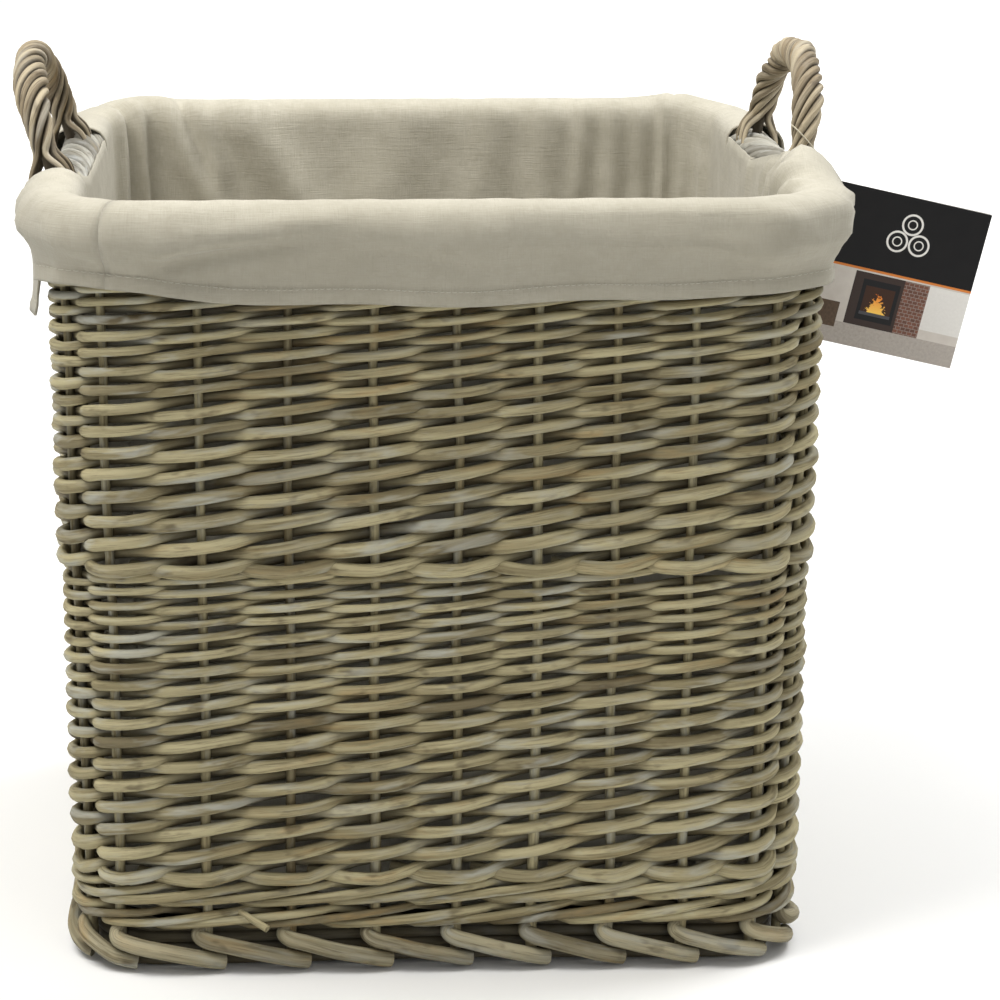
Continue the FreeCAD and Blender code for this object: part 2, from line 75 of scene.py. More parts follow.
MID_LEVEL = (FOOT_HIGH.z + UPPER_HIGH.z) / 2
MID_ROUND = WALL_ROUND + WALL_LEAN * MID_LEVEL - STAKE_INSET
FLAT = WALL_HALF - WALL_ROUND
EIGHTH = MID_ROUND * math.pi / 4
SIDE = 2 * (FLAT + EIGHTH)
LAP = 4 * SIDE


def round_square(along, z, bend, core):
    """Points and outward normals of a square with round corners: the line at a distance bend from a core square.

    along is the distance round the basket from the front left corner, at half the wall's height; core is half
    the core square's side.
    """
    along = np.asarray(along, float)
    side = np.floor(along / SIDE)
    local = along - side * SIDE
    low = np.minimum(local - EIGHTH, 0.0)
    high = np.maximum(local - EIGHTH - 2 * FLAT, 0.0)
    angle = (low + high) / MID_ROUND
    centre = (np.clip(local - EIGHTH, 0.0, 2 * FLAT) - FLAT) * (core / FLAT)
    nx, ny = np.sin(angle), -np.cos(angle)
    x = centre + bend * nx
    y = -core + bend * ny
    turn = (side % 4) * (math.pi / 2)
    c, s = np.cos(turn), np.sin(turn)
    points = np.stack([x * c - y * s, x * s + y * c, np.broadcast_to(z, x.shape)], -1)
    normals = np.stack([nx * c - ny * s, nx * s + ny * c, np.zeros_like(nx)], -1)
    return points, normals


def outline(along, z, out):
    """Points and outward normals of the wall, out being the distance out from the middle of the stakes."""
    bend = WALL_ROUND + WALL_LEAN * np.asarray(z, float) - STAKE_INSET + out
    return round_square(along, z, bend, FLAT)


def stake_places():
    """Distance along the outline of each stake, the front's middle ones shifted to the right."""
    share = np.linspace(0, 1, SIDE_STAKES)
    places = np.add.outer(np.arange(4) * SIDE, CORNER_REACH + share * (SIDE - 2 * CORNER_REACH))
    places[0] += STAKE_DRIFT * np.sin(math.pi * share)
    return places.ravel()


def short_way(gap):
    """A distance round the basket, signed, the shorter way round."""
    return (gap + LAP / 2) % LAP - LAP / 2


def unit(value):
    """A value kept between 0 and 1."""
    return np.clip(value, 0, 1)


def hump(x, width):
    """A smooth rise to 1 where x is 0, gone two widths away."""
    return np.exp(-(x / width) ** 2)


def ease(share):
    """Smooth the ends of a share that goes from 0 to 1."""
    return share * share * (3 - 2 * share)


STAKE_ALONG = stake_places()


def at_stake(u):
    """Distance along the outline at stake number u, which may be a fraction and may pass the last stake."""
    u = np.asarray(u, float)
    lap = np.floor(u / STAKES)
    table = np.append(STAKE_ALONG, STAKE_ALONG[0] + LAP)
    return np.interp(u - lap * STAKES, np.arange(STAKES + 1), table) + lap * LAP


# ---- meshes

def put(name, data):
    """A new object in the scene."""
    thing = bpy.data.objects.new(name, data)
    bpy.context.scene.collection.objects.link(thing)
    return thing


def grid_faces(rows, columns, closed=True):
    """Four-sided faces between the points of a grid, going on to the first column again when closed."""
    index = np.arange(rows * columns).reshape(rows, columns)
    beside = np.roll(index, -1, 1)
    faces = np.stack([index[:-1], index[1:], beside[1:], beside[:-1]], -1)
    return faces if closed else faces[:, :-1]


class Build:
    """Collects vertices, faces and per-vertex values, and makes one mesh object of them."""

    def __init__(self):
        self.points, self.rod, self.tone, self.worn, self.faces = [], [], [], [], []
        self.count = 0

    def add(self, points, faces, rod, tone=0.5, worn=0.6):
        """Add plain vertices and lists of faces."""
        points = np.asarray(points, float).reshape(-1, 3)
        self.points.append(points)
        self.rod.append(np.asarray(rod, float).reshape(-1, 3))
        self.tone.append(np.broadcast_to(tone, len(points)))
        self.worn.append(np.broadcast_to(worn, len(points)))
        self.faces.extend(np.atleast_2d(f) + self.count for f in faces)
        self.count += len(points)

    def tube(self, path, radius, normals, sides=8, tone=0.5, seed=None, caps=True, out=0.25, flat=1.0, shade=0.14):
        """Sweep a round section along a path. normals, or one for all, point across it and stop it twisting.

        tone is the rod's own lightness and seed shifts its grain, at random unless given; out is how far the
        path stands out of the wall, from -1 to 1, and paints shade on what lies deep in it; flat squeezes the section
        along the normals; shade is how much painted shade darkens the side turned away.
        """
        if seed is None:
            seed = rng.uniform(0, 50)
        radius = np.broadcast_to(radius, len(path))
        tangent = np.gradient(path, axis=0)
        tangent /= np.linalg.norm(tangent, axis=1, keepdims=True)
        across = normals - tangent * np.sum(normals * tangent, 1, keepdims=True)
        across /= np.linalg.norm(across, axis=1, keepdims=True)
        up = np.cross(tangent, across)
        angle = np.arange(sides) * TAU / sides
        c, s = np.cos(angle), np.sin(angle)
        ring = across[:, None] * c[:, None] * flat + up[:, None] * s[:, None]
        points = path[:, None] + ring * radius[:, None, None]
        length = np.concatenate([[0.0], np.cumsum(np.linalg.norm(np.diff(path, axis=0), axis=1))])
        rod = np.stack(np.broadcast_arrays(length[:, None] + seed, c * radius[:, None], s * radius[:, None]), -1)
        first, last = np.arange(sides), np.arange(sides) + (len(path) - 1) * sides
        faces = [grid_faces(len(path), sides).reshape(-1, 4)]
        if caps:
            faces += [first[None, ::-1], last[None]]
        # painted light: high where the rod stands out and on its outward side, low deep in the weave and on the side
        # turned away, where the willow paints shade
        worn = 0.5 + 0.36 * np.broadcast_to(out, len(path))[:, None] + shade * c
        self.add(points, [f[:, ::-1] for f in faces], rod, tone, worn.ravel())

    def piece(self, name, material, body, slot, *nodes, smooth=True):
        """Make the mesh object, with the per-vertex values as attributes that the materials read.

        It is tied to its body and the CAD nodes that it stands for. slot is not used.
        """
        mesh = bpy.data.meshes.new(name)
        points = np.concatenate(self.points).astype(np.float32)
        loops = np.concatenate([f.ravel() for f in self.faces]).astype(np.int32)
        sizes = np.concatenate([np.full(len(f), f.shape[1]) for f in self.faces])
        starts = np.concatenate([[0], np.cumsum(sizes)[:-1]]).astype(np.int32)
        mesh.vertices.add(len(points))
        mesh.vertices.foreach_set("co", points.ravel())
        mesh.loops.add(len(loops))
        mesh.loops.foreach_set("vertex_index", loops)
        mesh.polygons.add(len(sizes))
        mesh.polygons.foreach_set("loop_start", starts)
        mesh.polygons.foreach_set("use_smooth", np.full(len(sizes), smooth))
        mesh.update(calc_edges=True)
        mesh.validate()
        attribute = mesh.attributes.new("rod", "FLOAT_VECTOR", "POINT")
        attribute.data.foreach_set("vector", np.concatenate(self.rod).astype(np.float32).ravel())
        for key, values in (("tone", self.tone), ("worn", self.worn)):
            attribute = mesh.attributes.new(key, "FLOAT", "POINT")
            attribute.data.foreach_set("value", np.concatenate(values).astype(np.float32))
        mesh.materials.append(material)
        piece = put(name, mesh)
        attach(piece, body)
        if nodes:
            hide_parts(*nodes)
        return piece


# ---- materials

class Nodes:
    """A short way to write a node material."""

    def __init__(self, name):
        self.material = bpy.data.materials.new(name)
        self.material.use_nodes = True
        self.tree = self.material.node_tree
        self.shader = self.tree.nodes["Principled BSDF"]

    def node(self, kind, inputs=(), **settings):
        node = self.tree.nodes.new(kind)
        for key, value in settings.items():
            setattr(node, key, value)
        for key, value in dict(inputs).items():
            self.set(node, key, value)
        return node

    def set(self, node, key, value):
        """Link or set an input; a colour's three numbers get their alpha here."""
        socket = node.inputs[key]
        if isinstance(value, bpy.types.NodeSocket):
            self.tree.links.new(value, socket)
        else:
            socket.default_value = (*value, 1.0) if socket.type == "RGBA" else value

    def attribute(self, name, output="Fac"):
        return self.node("ShaderNodeAttribute", attribute_name=name).outputs[output]

    def noise(self, vector, scale, detail=3.0, rough=0.55, distort=0.0):
        """Noise at one scale, or at one for each axis."""
        if isinstance(scale, tuple):
            scaled = self.node("ShaderNodeVectorMath", {0: vector, 1: scale}, operation="MULTIPLY")
            vector, scale = scaled.outputs[0], 1.0
        inputs = {"Vector": vector, "Scale": scale, "Detail": detail, "Roughness": rough, "Distortion": distort}
        return self.node("ShaderNodeTexNoise", inputs).outputs["Fac"]

    def map(self, value, low, high, out_low=0.0, out_high=1.0):
        inputs = {"Value": value, "From Min": low, "From Max": high, "To Min": out_low, "To Max": out_high}
        return self.node("ShaderNodeMapRange", inputs).outputs["Result"]

    def math(self, kind, a, b=0.0):
        return self.node("ShaderNodeMath", {0: a, 1: b}, operation=kind).outputs[0]

    def times(self, a, b):
        return self.math("MULTIPLY", a, b)

    def mix(self, share, a, b):
        return self.node("ShaderNodeMix", {0: share, 6: a, 7: b}, data_type="RGBA").outputs[2]

    def place(self):
        return self.node("ShaderNodeTexCoord").outputs["Object"]

    def layers(self, colour, *coats):
        """A colour under coats of others, each given with its share."""
        for share, coat in coats:
            colour = self.mix(share, colour, coat)
        return colour

    def finish(self, colour, rough, **others):
        """Set the shader's inputs, the others with _ for a space, and return the material."""
        for key, value in {"Base_Color": colour, "Roughness": rough, **others}.items():
            self.set(self.shader, key.replace("_", " "), value)
        return self.material

    def bump(self, height, distance, strength=1.0, under=None):
        inputs = {"Height": height, "Distance": distance, "Strength": strength}
        if under is not None:
            inputs["Normal"] = under
        return self.node("ShaderNodeBump", inputs).outputs["Normal"]


def dim(colour, share):
    return tuple(share * c for c in colour)


def willow(name, dark, mid, light, wash, wash_share=0.5, rough=0.66, gold=(0.33, 0.22, 0.085)):
    """Dry peeled willow: long fibres, each rod's own tone, grey wash in patches, painted shade deep in the weave and
    on the sides turned away.
    """
    n = Nodes(name)
    rod = n.attribute("rod", "Vector")
    tone = n.attribute("tone")
    worn = n.attribute("worn")
    fibre = n.noise(rod, (42.0, 900.0, 900.0), 5.0, 0.68)
    streak = n.noise(rod, (11.0, 240.0, 240.0), 2.0, 0.5)
    patch = n.noise(rod, (24.0, 110.0, 110.0), 3.0, 0.62, 0.5)
    spot = n.noise(rod, (70.0, 170.0, 170.0), 2.0, 0.5)
    broad = n.noise(n.place(), 8.0, 2.0, 0.55)
    golden = n.times(n.map(patch, 0.45, 0.3, 0.0, 0.55), n.map(broad, 0.6, 0.42))
    washed = n.times(n.map(patch, 0.5, 0.66), n.map(broad, 0.36, 0.6, 0.3, 1.0))
    # painted shade: the rods are darkened deep in the weave and on their sides turned away
    painted_shade = n.times(n.map(worn, 0.74, 0.2), n.map(streak, 0.2, 0.7, 0.75, 1.0))
    body = n.layers(mid,
                    (n.map(streak, 0.38, 0.62), light), (n.map(tone, 0.55, 1.0, 0.0, 0.8), light),
                    (n.map(tone, 0.42, 0.0, 0.0, 0.75), dark), (golden, gold),
                    (n.map(fibre, 0.5, 0.72, 0.0, 0.7), dark), (n.map(spot, 0.6, 0.74, 0.0, 0.65), dark),
                    (n.times(washed, wash_share), wash), (n.times(painted_shade, 0.88), dim(dark, 0.5)))
    grain = n.bump(spot, 0.9 * MM, 0.4, n.bump(fibre, 0.6 * MM, 0.8))
    return n.finish(body, n.map(fibre, 0.3, 0.7, rough - 0.12, rough + 0.12), Specular_IOR_Level=0.3, Normal=grain)


def calico(name, light, shade):
    """Unbleached plain-weave cloth: crossed threads with slubs, a faint mottle, and painted shade on the turned-down
    cuff.
    """
    n = Nodes(name)
    cloth = n.attribute("rod", "Vector")
    warp = n.noise(cloth, (1700.0, 140.0, 1.0), 2.0, 0.6)
    weft = n.noise(cloth, (140.0, 1700.0, 1.0), 2.0, 0.6)
    slub = n.noise(cloth, (900.0, 45.0, 1.0), 1.0, 0.5)
    slub_across = n.noise(cloth, (45.0, 900.0, 1.0), 1.0, 0.5)
    mottle = n.noise(n.place(), 16.0, 3.0, 0.6)
    stain = n.noise(n.place(), 95.0, 4.0, 0.7)
    threads = n.math("ADD", warp, weft)
    # painted shade: from the roll over the rim down, told by the distance along the cloth, the cuff is painted darker
    # than the inside
    down = n.node("ShaderNodeSeparateXYZ", {"Vector": cloth}).outputs["Y"]
    body = n.layers(shade,
                    (n.map(threads, 0.2, 1.8), light), (n.map(mottle, 0.42, 0.62, 0.0, 0.4), shade),
                    (n.map(stain, 0.45, 0.72, 0.0, 0.55), shade),
                    (n.map(slub, 0.66, 0.8, 0.0, 0.22), dim(shade, 0.75)),
                    (n.map(slub_across, 0.66, 0.8, 0.0, 0.2), dim(shade, 0.78)),
                    (n.map(down, 0.39, 0.425, 0.0, 0.58), dim(shade, 0.72)))
    weave = n.bump(n.math("ADD", slub, slub_across), 0.35 * MM, 0.5, n.bump(threads, 0.3 * MM, 0.55))
    return n.finish(body, 0.93, Specular_IOR_Level=0.15, Sheen_Weight=0.15, Normal=weave)


WILLOW = willow("willow", (0.072, 0.052, 0.024), (0.222, 0.187, 0.098), (0.405, 0.358, 0.208),
                (0.385, 0.392, 0.345), 0.7)
WILLOW_PALE = willow("willow_pale", (0.12, 0.105, 0.08), (0.34, 0.325, 0.27), (0.5, 0.485, 0.425),
                     (0.58, 0.59, 0.57), 0.8, 0.7, (0.33, 0.27, 0.17))
# a darker copy of the willow for the foot border and the base: painted shade for these low parts under the basket
WILLOW_FOOT_SHADED = willow("willow_foot_shaded", (0.065, 0.049, 0.026), (0.19, 0.164, 0.096), (0.36, 0.322, 0.208),
                     (0.3, 0.312, 0.285), 0.75)
HANDLE_WILLOW = willow("handle_willow", (0.055, 0.037, 0.018), (0.215, 0.165, 0.1), (0.44, 0.37, 0.25),
                       (0.42, 0.395, 0.33), 0.55, 0.62)
CALICO = calico("calico", (0.562, 0.532, 0.446), (0.362, 0.336, 0.262))


def plain(name, colour, rough=0.5):
    """One colour with a fine grain."""
    n = Nodes(name)
    return n.finish(n.mix(n.noise(n.place(), 900.0, 2.0, 0.5), dim(colour, 0.9), colour), rough)


def rod_tone(mean=0.5, spread=0.25):
    """A random lightness for one rod."""
    return unit(rng.normal(mean, spread))


# ---- the woven wall

ROD_STEPS = 7
BUTT = 3.45 * MM
TIP = 1.75 * MM
STAKE_RADIUS = 2.35 * MM
WALL_SHIFT = 3.7 * MM


def wander(u, amount):
    """A slow rise and fall round the basket, the same for every rod, so that the courses aren't ruled lines."""
    turn = np.asarray(u) * TAU / STAKES
    wave = np.sin(2 * turn + 0.6) + 0.6 * np.sin(5 * turn + 2.1) + 0.35 * np.sin(11 * turn + 4.0)
    return amount * wave / 1.95


def uneven(t):
    """Small random steps, one for each stake that the rod passes, read at t."""
    grid = np.arange(t[0], t[-1] + 3)
    steps = rng.normal(0.0, 1.0, int(t[-1] - t[0]) + 4)
    return np.interp(t, grid, steps[:len(grid)])


def rand_band(name, low, high, node, dip):
    """French rand: one rod from behind each stake, each in front of one and behind the next, all rising together."""
    build = Build()
    mean = (BUTT + TIP) / 2
    turns = (high - low - BUTT - TIP) / (2 * mean * 0.97)
    for number in range(STAKES):
        start = -0.8
        end = 2 * round((turns - 1.0 + rng.uniform(-1.2, 0.6)) / 2) + 1.0 + rng.uniform(0.1, 0.3)
        t = np.linspace(start, end, int((end - start) * ROD_STEPS))
        share = unit(t / turns)
        radius = BUTT + (TIP - BUTT) * share
        rise = 2 * 0.97 * turns * (BUTT * share + (TIP - BUTT) * share ** 2 / 2)
        shake, lift = uneven(t), uneven(t)
        z = low + BUTT + rise + 0.05 * radius * np.cos(math.pi * t)
        z = z - dip * radius * np.cos(math.pi * t) * np.exp(-np.maximum(t, 0) / 1.3)
        z = z + 0.6 * MM * lift + wander(number + t, 1.8 * MM) * np.sin(math.pi * share)
        z = np.clip(z, low + radius * 0.8, high - radius * 0.8)
        weave = np.cos(math.pi * t)
        weave = np.sign(weave) * np.abs(weave) ** 0.8
        out = (STAKE_RADIUS + 0.84 * radius) * weave * (1 + 0.07 * shake) + WALL_SHIFT
        path, normal = outline(at_stake(number + t), z, out)
        tone = rod_tone()
        fat = rng.uniform(1.0, 1.2) * (1 + 0.06 * uneven(t))
        lumps = 1 + 0.035 * np.sin(t * 9.1 + number * 2.3) + 0.03 * np.sin(t * 4.3 + number * 1.1)
        # out=weave paints shade on each rod where it passes behind a stake, and on its side turned away
        build.tube(path, radius * fat * lumps, normal, 9, tone, out=weave, flat=0.94)
    build.piece(name, WILLOW, "basket", "willow", node)


rand_band("lower_weave", LOWER_LOW.z - 1.5 * MM, LOWER_HIGH.z + 3.0 * MM, "lower_rand", 0.5)
rand_band("upper_weave", UPPER_LOW.z - 0.5 * MM, UPPER_HIGH.z, "upper_rand", 0.1)


def stakes(place, numbers):
    """The upright rods with the given numbers, each a little bent."""
    build = Build()
    for number in numbers:
        z = np.linspace(8 * MM, UPPER_HIGH.z, 44)
        sway = np.interp(z, np.linspace(0, 0.4, 12), rng.normal(0, 0.6 * MM, 12))
        path, normal = outline(STAKE_ALONG[number] + sway, z, WALL_SHIFT)
        radius = STAKE_RADIUS * rng.uniform(0.96, 1.08) * np.linspace(1.22, 0.95, len(z))
        # painted shade: the stakes are toned a little darker than the rods, for where they stand deep behind them;
        # out paints a little more
        build.tube(path, radius, normal, 8, rod_tone(0.55, 0.2) - 0.12, out=0.2)
    build.piece("stake_rods_" + place, WILLOW, "basket", "willow", "stakes_" + place)


for index, side_name in enumerate(("front", "right", "back", "left")):
    stakes(side_name, range(index * SIDE_STAKES + 1, (index + 1) * SIDE_STAKES - 1))
stakes("corners", [n for n in range(STAKES) if n % SIDE_STAKES in (0, SIDE_STAKES - 1)])


def wale(low, high, rounds, radius):
    """Three-rod wale: each rod in front of two stakes and behind one, rising in front and dropping back behind."""
    build = Build()
    course = (high - low) / rounds
    for level in range(rounds):
        for strand in range(3):
            t = np.arange(0, STAKES * ROD_STEPS + 1) / ROD_STEPS
            phase = (t - strand + level) % 3.0
            front = unit(phase / 2.0)
            behind = unit(phase - 2.0)
            rise = np.where(phase < 2.0, -0.5 + front, 0.5 - behind)
            swing = np.where(phase < 2.0, np.sin(math.pi * front) ** 0.6, -np.sin(math.pi * behind) ** 0.8)
            z = low + course * (level + 0.5) + rise * course * 0.74 + wander(t, 0.9 * MM)
            shake = rng.normal(0, 1, STAKES)
            z = z + 0.5 * MM * np.interp(t, np.arange(STAKES + 1), np.append(shake, shake[0]))
            out = (STAKE_RADIUS + radius) * swing + WALL_SHIFT
            thick = radius * (1 + 0.12 * np.cos(t * TAU / 12 + strand)) * rng.uniform(0.95, 1.08)
            path, normal = outline(at_stake(t + 21.5), z, out)
            # out=swing paints shade on each strand where it passes behind a stake, and on its side turned away
            build.tube(path, thick, normal, 9, rod_tone(0.47, 0.2), out=swing)
    return build


def cut_end(build, along, z, slope, radius):
    """The blunt end of a rod that sticks out of the weave."""
    t = np.linspace(0, 1, 14)
    path, normal = outline(along + t * 15 * MM, z + slope * t, WALL_SHIFT + (2.0 + 11.0 * t) * MM)
    build.tube(path, radius, normal, 12, 0.75, out=0.5)


upsett = wale(WALE_LOW.z + 1.5 * MM, WALE_HIGH.z - 2 * MM, 2, 2.5 * MM)
for stake, level, fall, thickness in ((1.38, 33.5, -6, 2.0), (14.2, 36, -5, 1.7), (23.3, 32, -5, 1.8)):
    cut_end(upsett, at_stake(stake), level * MM, fall * MM, thickness * MM)
upsett.piece("upsett_rods", WILLOW, "basket", "willow", "upsett_wale")
collar = wale(COLLAR_LOW.z + 1 * MM, COLLAR_HIGH.z, 1, 2.4 * MM)
collar.piece("collar_rods", WILLOW, "basket", "willow", "collar_wale")


# ---- foot, base and rim

def through(points, steps):
    """A smooth line through a few points, each (along, z, out)."""
    points = np.asarray(points, float)
    padded = np.vstack([2 * points[0] - points[1], points, 2 * points[-1] - points[-2]])
    a, b, c, d = (padded[i:len(points) - 1 + i, None] for i in range(4))
    s = (np.arange(steps) / steps)[:, None]
    line = 0.5 * (2 * b + (c - a) * s + (2 * a - 5 * b + 4 * c - d) * s ** 2 + (3 * b - a - 3 * c + d) * s ** 3)
    return np.vstack([line.reshape(-1, 3), points[-1]])


def foot_strokes():
    """The foot border: each stake's foot turned down along the outside, its blunt end under the next one."""
    build = Build()
    for number in range(STAKES):
        shift = rng.normal(0, 0.6, 3)
        stroke = through([(number, 30.0, -1.5), (number - 0.05, 25.0, -1.0), (number - 0.1, 20.6, 2.0),
                          (number, 17.8 + 0.5 * shift[0], 4.8), (number + 0.2, 15.8 + 0.5 * shift[0], 6.2),
                          (number + 0.55, 12.4 + 0.5 * shift[1], 6.6), (number + 0.85, 9.2, 6.2 + 0.3 * shift[2]),
                          (number + 1.06, 7.0, 4.8), (number + 1.2, 5.6, 2.8)], 5)
        path, normal = outline(at_stake(stroke[:, 0]), stroke[:, 1] * MM, stroke[:, 2] * MM + WALL_SHIFT)
        swelling = np.interp(np.arange(len(path)), [0, 8, 14, 99], [0.6, 0.85, 1.0, 1.0])
        # painted shade: each stroke is darkened where it lies close in to the wall, under the wale and at its tucked
        # end
        depth = np.clip(stroke[:, 2] / 5 - 0.4, -0.9, 0.8)
        build.tube(path, 4.3 * MM * rng.uniform(0.94, 1.04) * swelling, normal, 12, rod_tone(), out=depth, shade=0.3)
    # the base's edge is wound with coils, deep in the shade behind the strokes, with that shade painted on them too
    for level, inset in ((4.2, -7.0), (10.4, -8.0), (16.6, -7.5), (22.4, -8.5)):
        t = np.arange(STAKES * 6 + 1) / 6
        z = level * MM + 0.8 * MM * np.sin(t * TAU * 5 / STAKES + level)
        path, normal = outline(at_stake(t), z, inset * MM + wander(t, 0.5 * MM) + WALL_SHIFT)
        build.tube(path, 3.3 * MM, normal, 8, 0.3, out=-1.0)
    build.piece("foot_rods", WILLOW_FOOT_SHADED, "basket", "willow", "foot_border")


foot_strokes()


def base_rods():
    """The base sticks, and the weavers that go over and under them."""
    low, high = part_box("base_sticks")
    weave_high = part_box("base_weave")[1]
    sticks, pitch = 9, 36 * MM
    level = (low.z + high.z) / 2
    build = Build()
    for number in range(sticks):
        x = (number - (sticks - 1) / 2) * pitch
        y = np.linspace(low.y, high.y, 20)
        path = np.stack([np.full_like(y, x), y, np.full_like(y, level)], -1)
        build.tube(path, 4.0 * MM * rng.uniform(0.95, 1.05), (0, 0, -1.0), 10, rng.uniform(0.3, 0.7))
    build.piece("base_stick_rods", WILLOW_FOOT_SHADED, "basket", "willow", "base_sticks")
    build = Build()
    reach = weave_high.x - 2 * MM
    bend = 32 * MM
    rows = int(2 * (weave_high.y - 6 * MM) / (5.5 * MM))
    for row in range(rows):
        y = -weave_high.y + 5 * MM + row * (2 * (weave_high.y - 5 * MM)) / (rows - 1)
        short = max(0.0, abs(y) - (reach - bend))
        end = reach - bend + math.sqrt(max(0.0, bend ** 2 - short ** 2))
        x = np.linspace(-end, end, 9 * 8 + 1)
        swing = np.cos(math.pi * x / pitch) * (1 if row % 2 else -1)
        z = level + (4.0 + 2.3) * MM * swing
        path = np.stack([x, y + rng.normal(0, 0.3 * MM) + np.zeros_like(x), z], -1)
        # painted shade on the weavers: darker where they rise above the sticks, and a little everywhere
        build.tube(path, 2.55 * MM * rng.uniform(0.9, 1.1), (0, 0, -1.0), 7, rod_tone(), out=-swing * 0.7 - 0.5)
    build.piece("base_weavers", WILLOW_FOOT_SHADED, "basket", "willow", "base_weave")


base_rods()


def rim_rods():
    """The whitewashed border at the rim: the stakes' tops laid over and down, turning round each other."""
    build = Build()
    middle = (RIM_LOW.z + RIM_HIGH.z) / 2
    centre = RIM_HIGH.x - 12 * MM
    strands = 6
    half = WALL_HALF + WALL_LEAN * middle - STAKE_INSET
    for strand in range(strands):
        t = np.arange(STAKES * ROD_STEPS + 1) / ROD_STEPS
        turn = TAU * (t * 13 / STAKES + strand / strands)
        z = middle + 5.4 * MM * np.sin(turn) + wander(t, 0.4 * MM)
        path, normal = outline(at_stake(t), z, centre - half + 8.4 * MM * np.cos(turn))
        lean = normal * np.cos(turn)[:, None] + UP * np.sin(turn)[:, None]
        thick = 3.5 * MM * (1 + 0.12 * np.sin(t * TAU / 9 + strand * 1.7)) * rng.uniform(0.9, 1.06)
        # out and shade paint shade on the side of each border rod turned away
        build.tube(path, thick, lean, 10, rod_tone(0.55), out=0.1, shade=0.4)
    build.piece("rim_rods", WILLOW_PALE, "basket", "willow_pale", "rim_border")


rim_rods()


# ---- handles

# x of each handle's legs, its outward lean in degrees, the distance of its strands from the middle, and
# the strands' mean tone, the depth that paints shade on them, and how much painted shade darkens their sides
HANDLES = {"left": (200 * MM, 15.0, 5.1 * MM, 0.3, -1.5, 1.1), "right": (196 * MM, 10.5, 4.6 * MM, 0.55, -1.05, 0.9)}
LEG_HALF = 75 * MM
RIM_MIDDLE = 401 * MM
STRANDS = 7
TWIST = 70 * MM


def handle_line(sign, root, lean):
    """Points along a handle's middle line, from its near leg to its far one, and the way outward."""
    spring, bend, crown, deep = 14 * MM, 42 * MM, 108 * MM, 21.5 * MM
    half = math.radians(60)
    points = [(-LEG_HALF, z) for z in np.linspace(-deep, spring, 8)[:-1]]
    points += [(-LEG_HALF + bend - bend * math.cos(a), spring + bend * math.sin(a))
               for a in np.linspace(0, half, 12)[:-1]]
    middle = spring - (crown - bend) * math.sin(half)
    rise = math.pi / 2 - half
    points += [(crown * math.sin(a), middle + crown * math.cos(a)) for a in np.linspace(-rise, rise, 22)]
    points = points + [(-y, z) for y, z in reversed(points[:18])]
    local = np.array(points)
    outward = np.array([sign * math.cos(lean), 0, -math.sin(lean)])
    up = np.array([sign * math.sin(lean), 0, math.cos(lean)])
    line = np.array([sign * root, 0, RIM_MIDDLE]) + local[:, :1] * Y_WAY + local[:, 1:] * up
    return line, outward


def resample(line, step):
    """The line again with even steps, and the distance along it at each point."""
    length = np.concatenate([[0.0], np.cumsum(np.linalg.norm(np.diff(line, axis=0), axis=1))])
    at = np.linspace(0, length[-1], int(length[-1] / step) + 1)
    return np.stack([np.interp(at, length, line[:, k]) for k in range(3)], -1), at


def strand_tail(start, step, away, inboard, sign, root, leg_y):
    """A strand's end: it leaves the twist, goes over the rim's inner or outer edge and tucks in there."""
    spread = (away * 13 + rng.uniform(-2.5, 2.5)) * MM
    goal_x = sign * (root - 9.0 * MM if inboard else root + 7.5 * MM)
    bend = start + step / np.linalg.norm(step) * 9 * MM
    over = np.array([goal_x - sign * (0.5 if inboard else -10.5) * MM, leg_y + spread,
                     RIM_MIDDLE + (17 if inboard else 5) * MM])
    goal = np.array([goal_x, leg_y + spread * 1.25, RIM_MIDDLE - (3 if inboard else 11.5) * MM])
    s = np.linspace(0, 1, 12)[1:, None]
    return (1 - s) ** 3 * start + 3 * s * (1 - s) ** 2 * bend + 3 * s ** 2 * (1 - s) * over + s ** 3 * goal


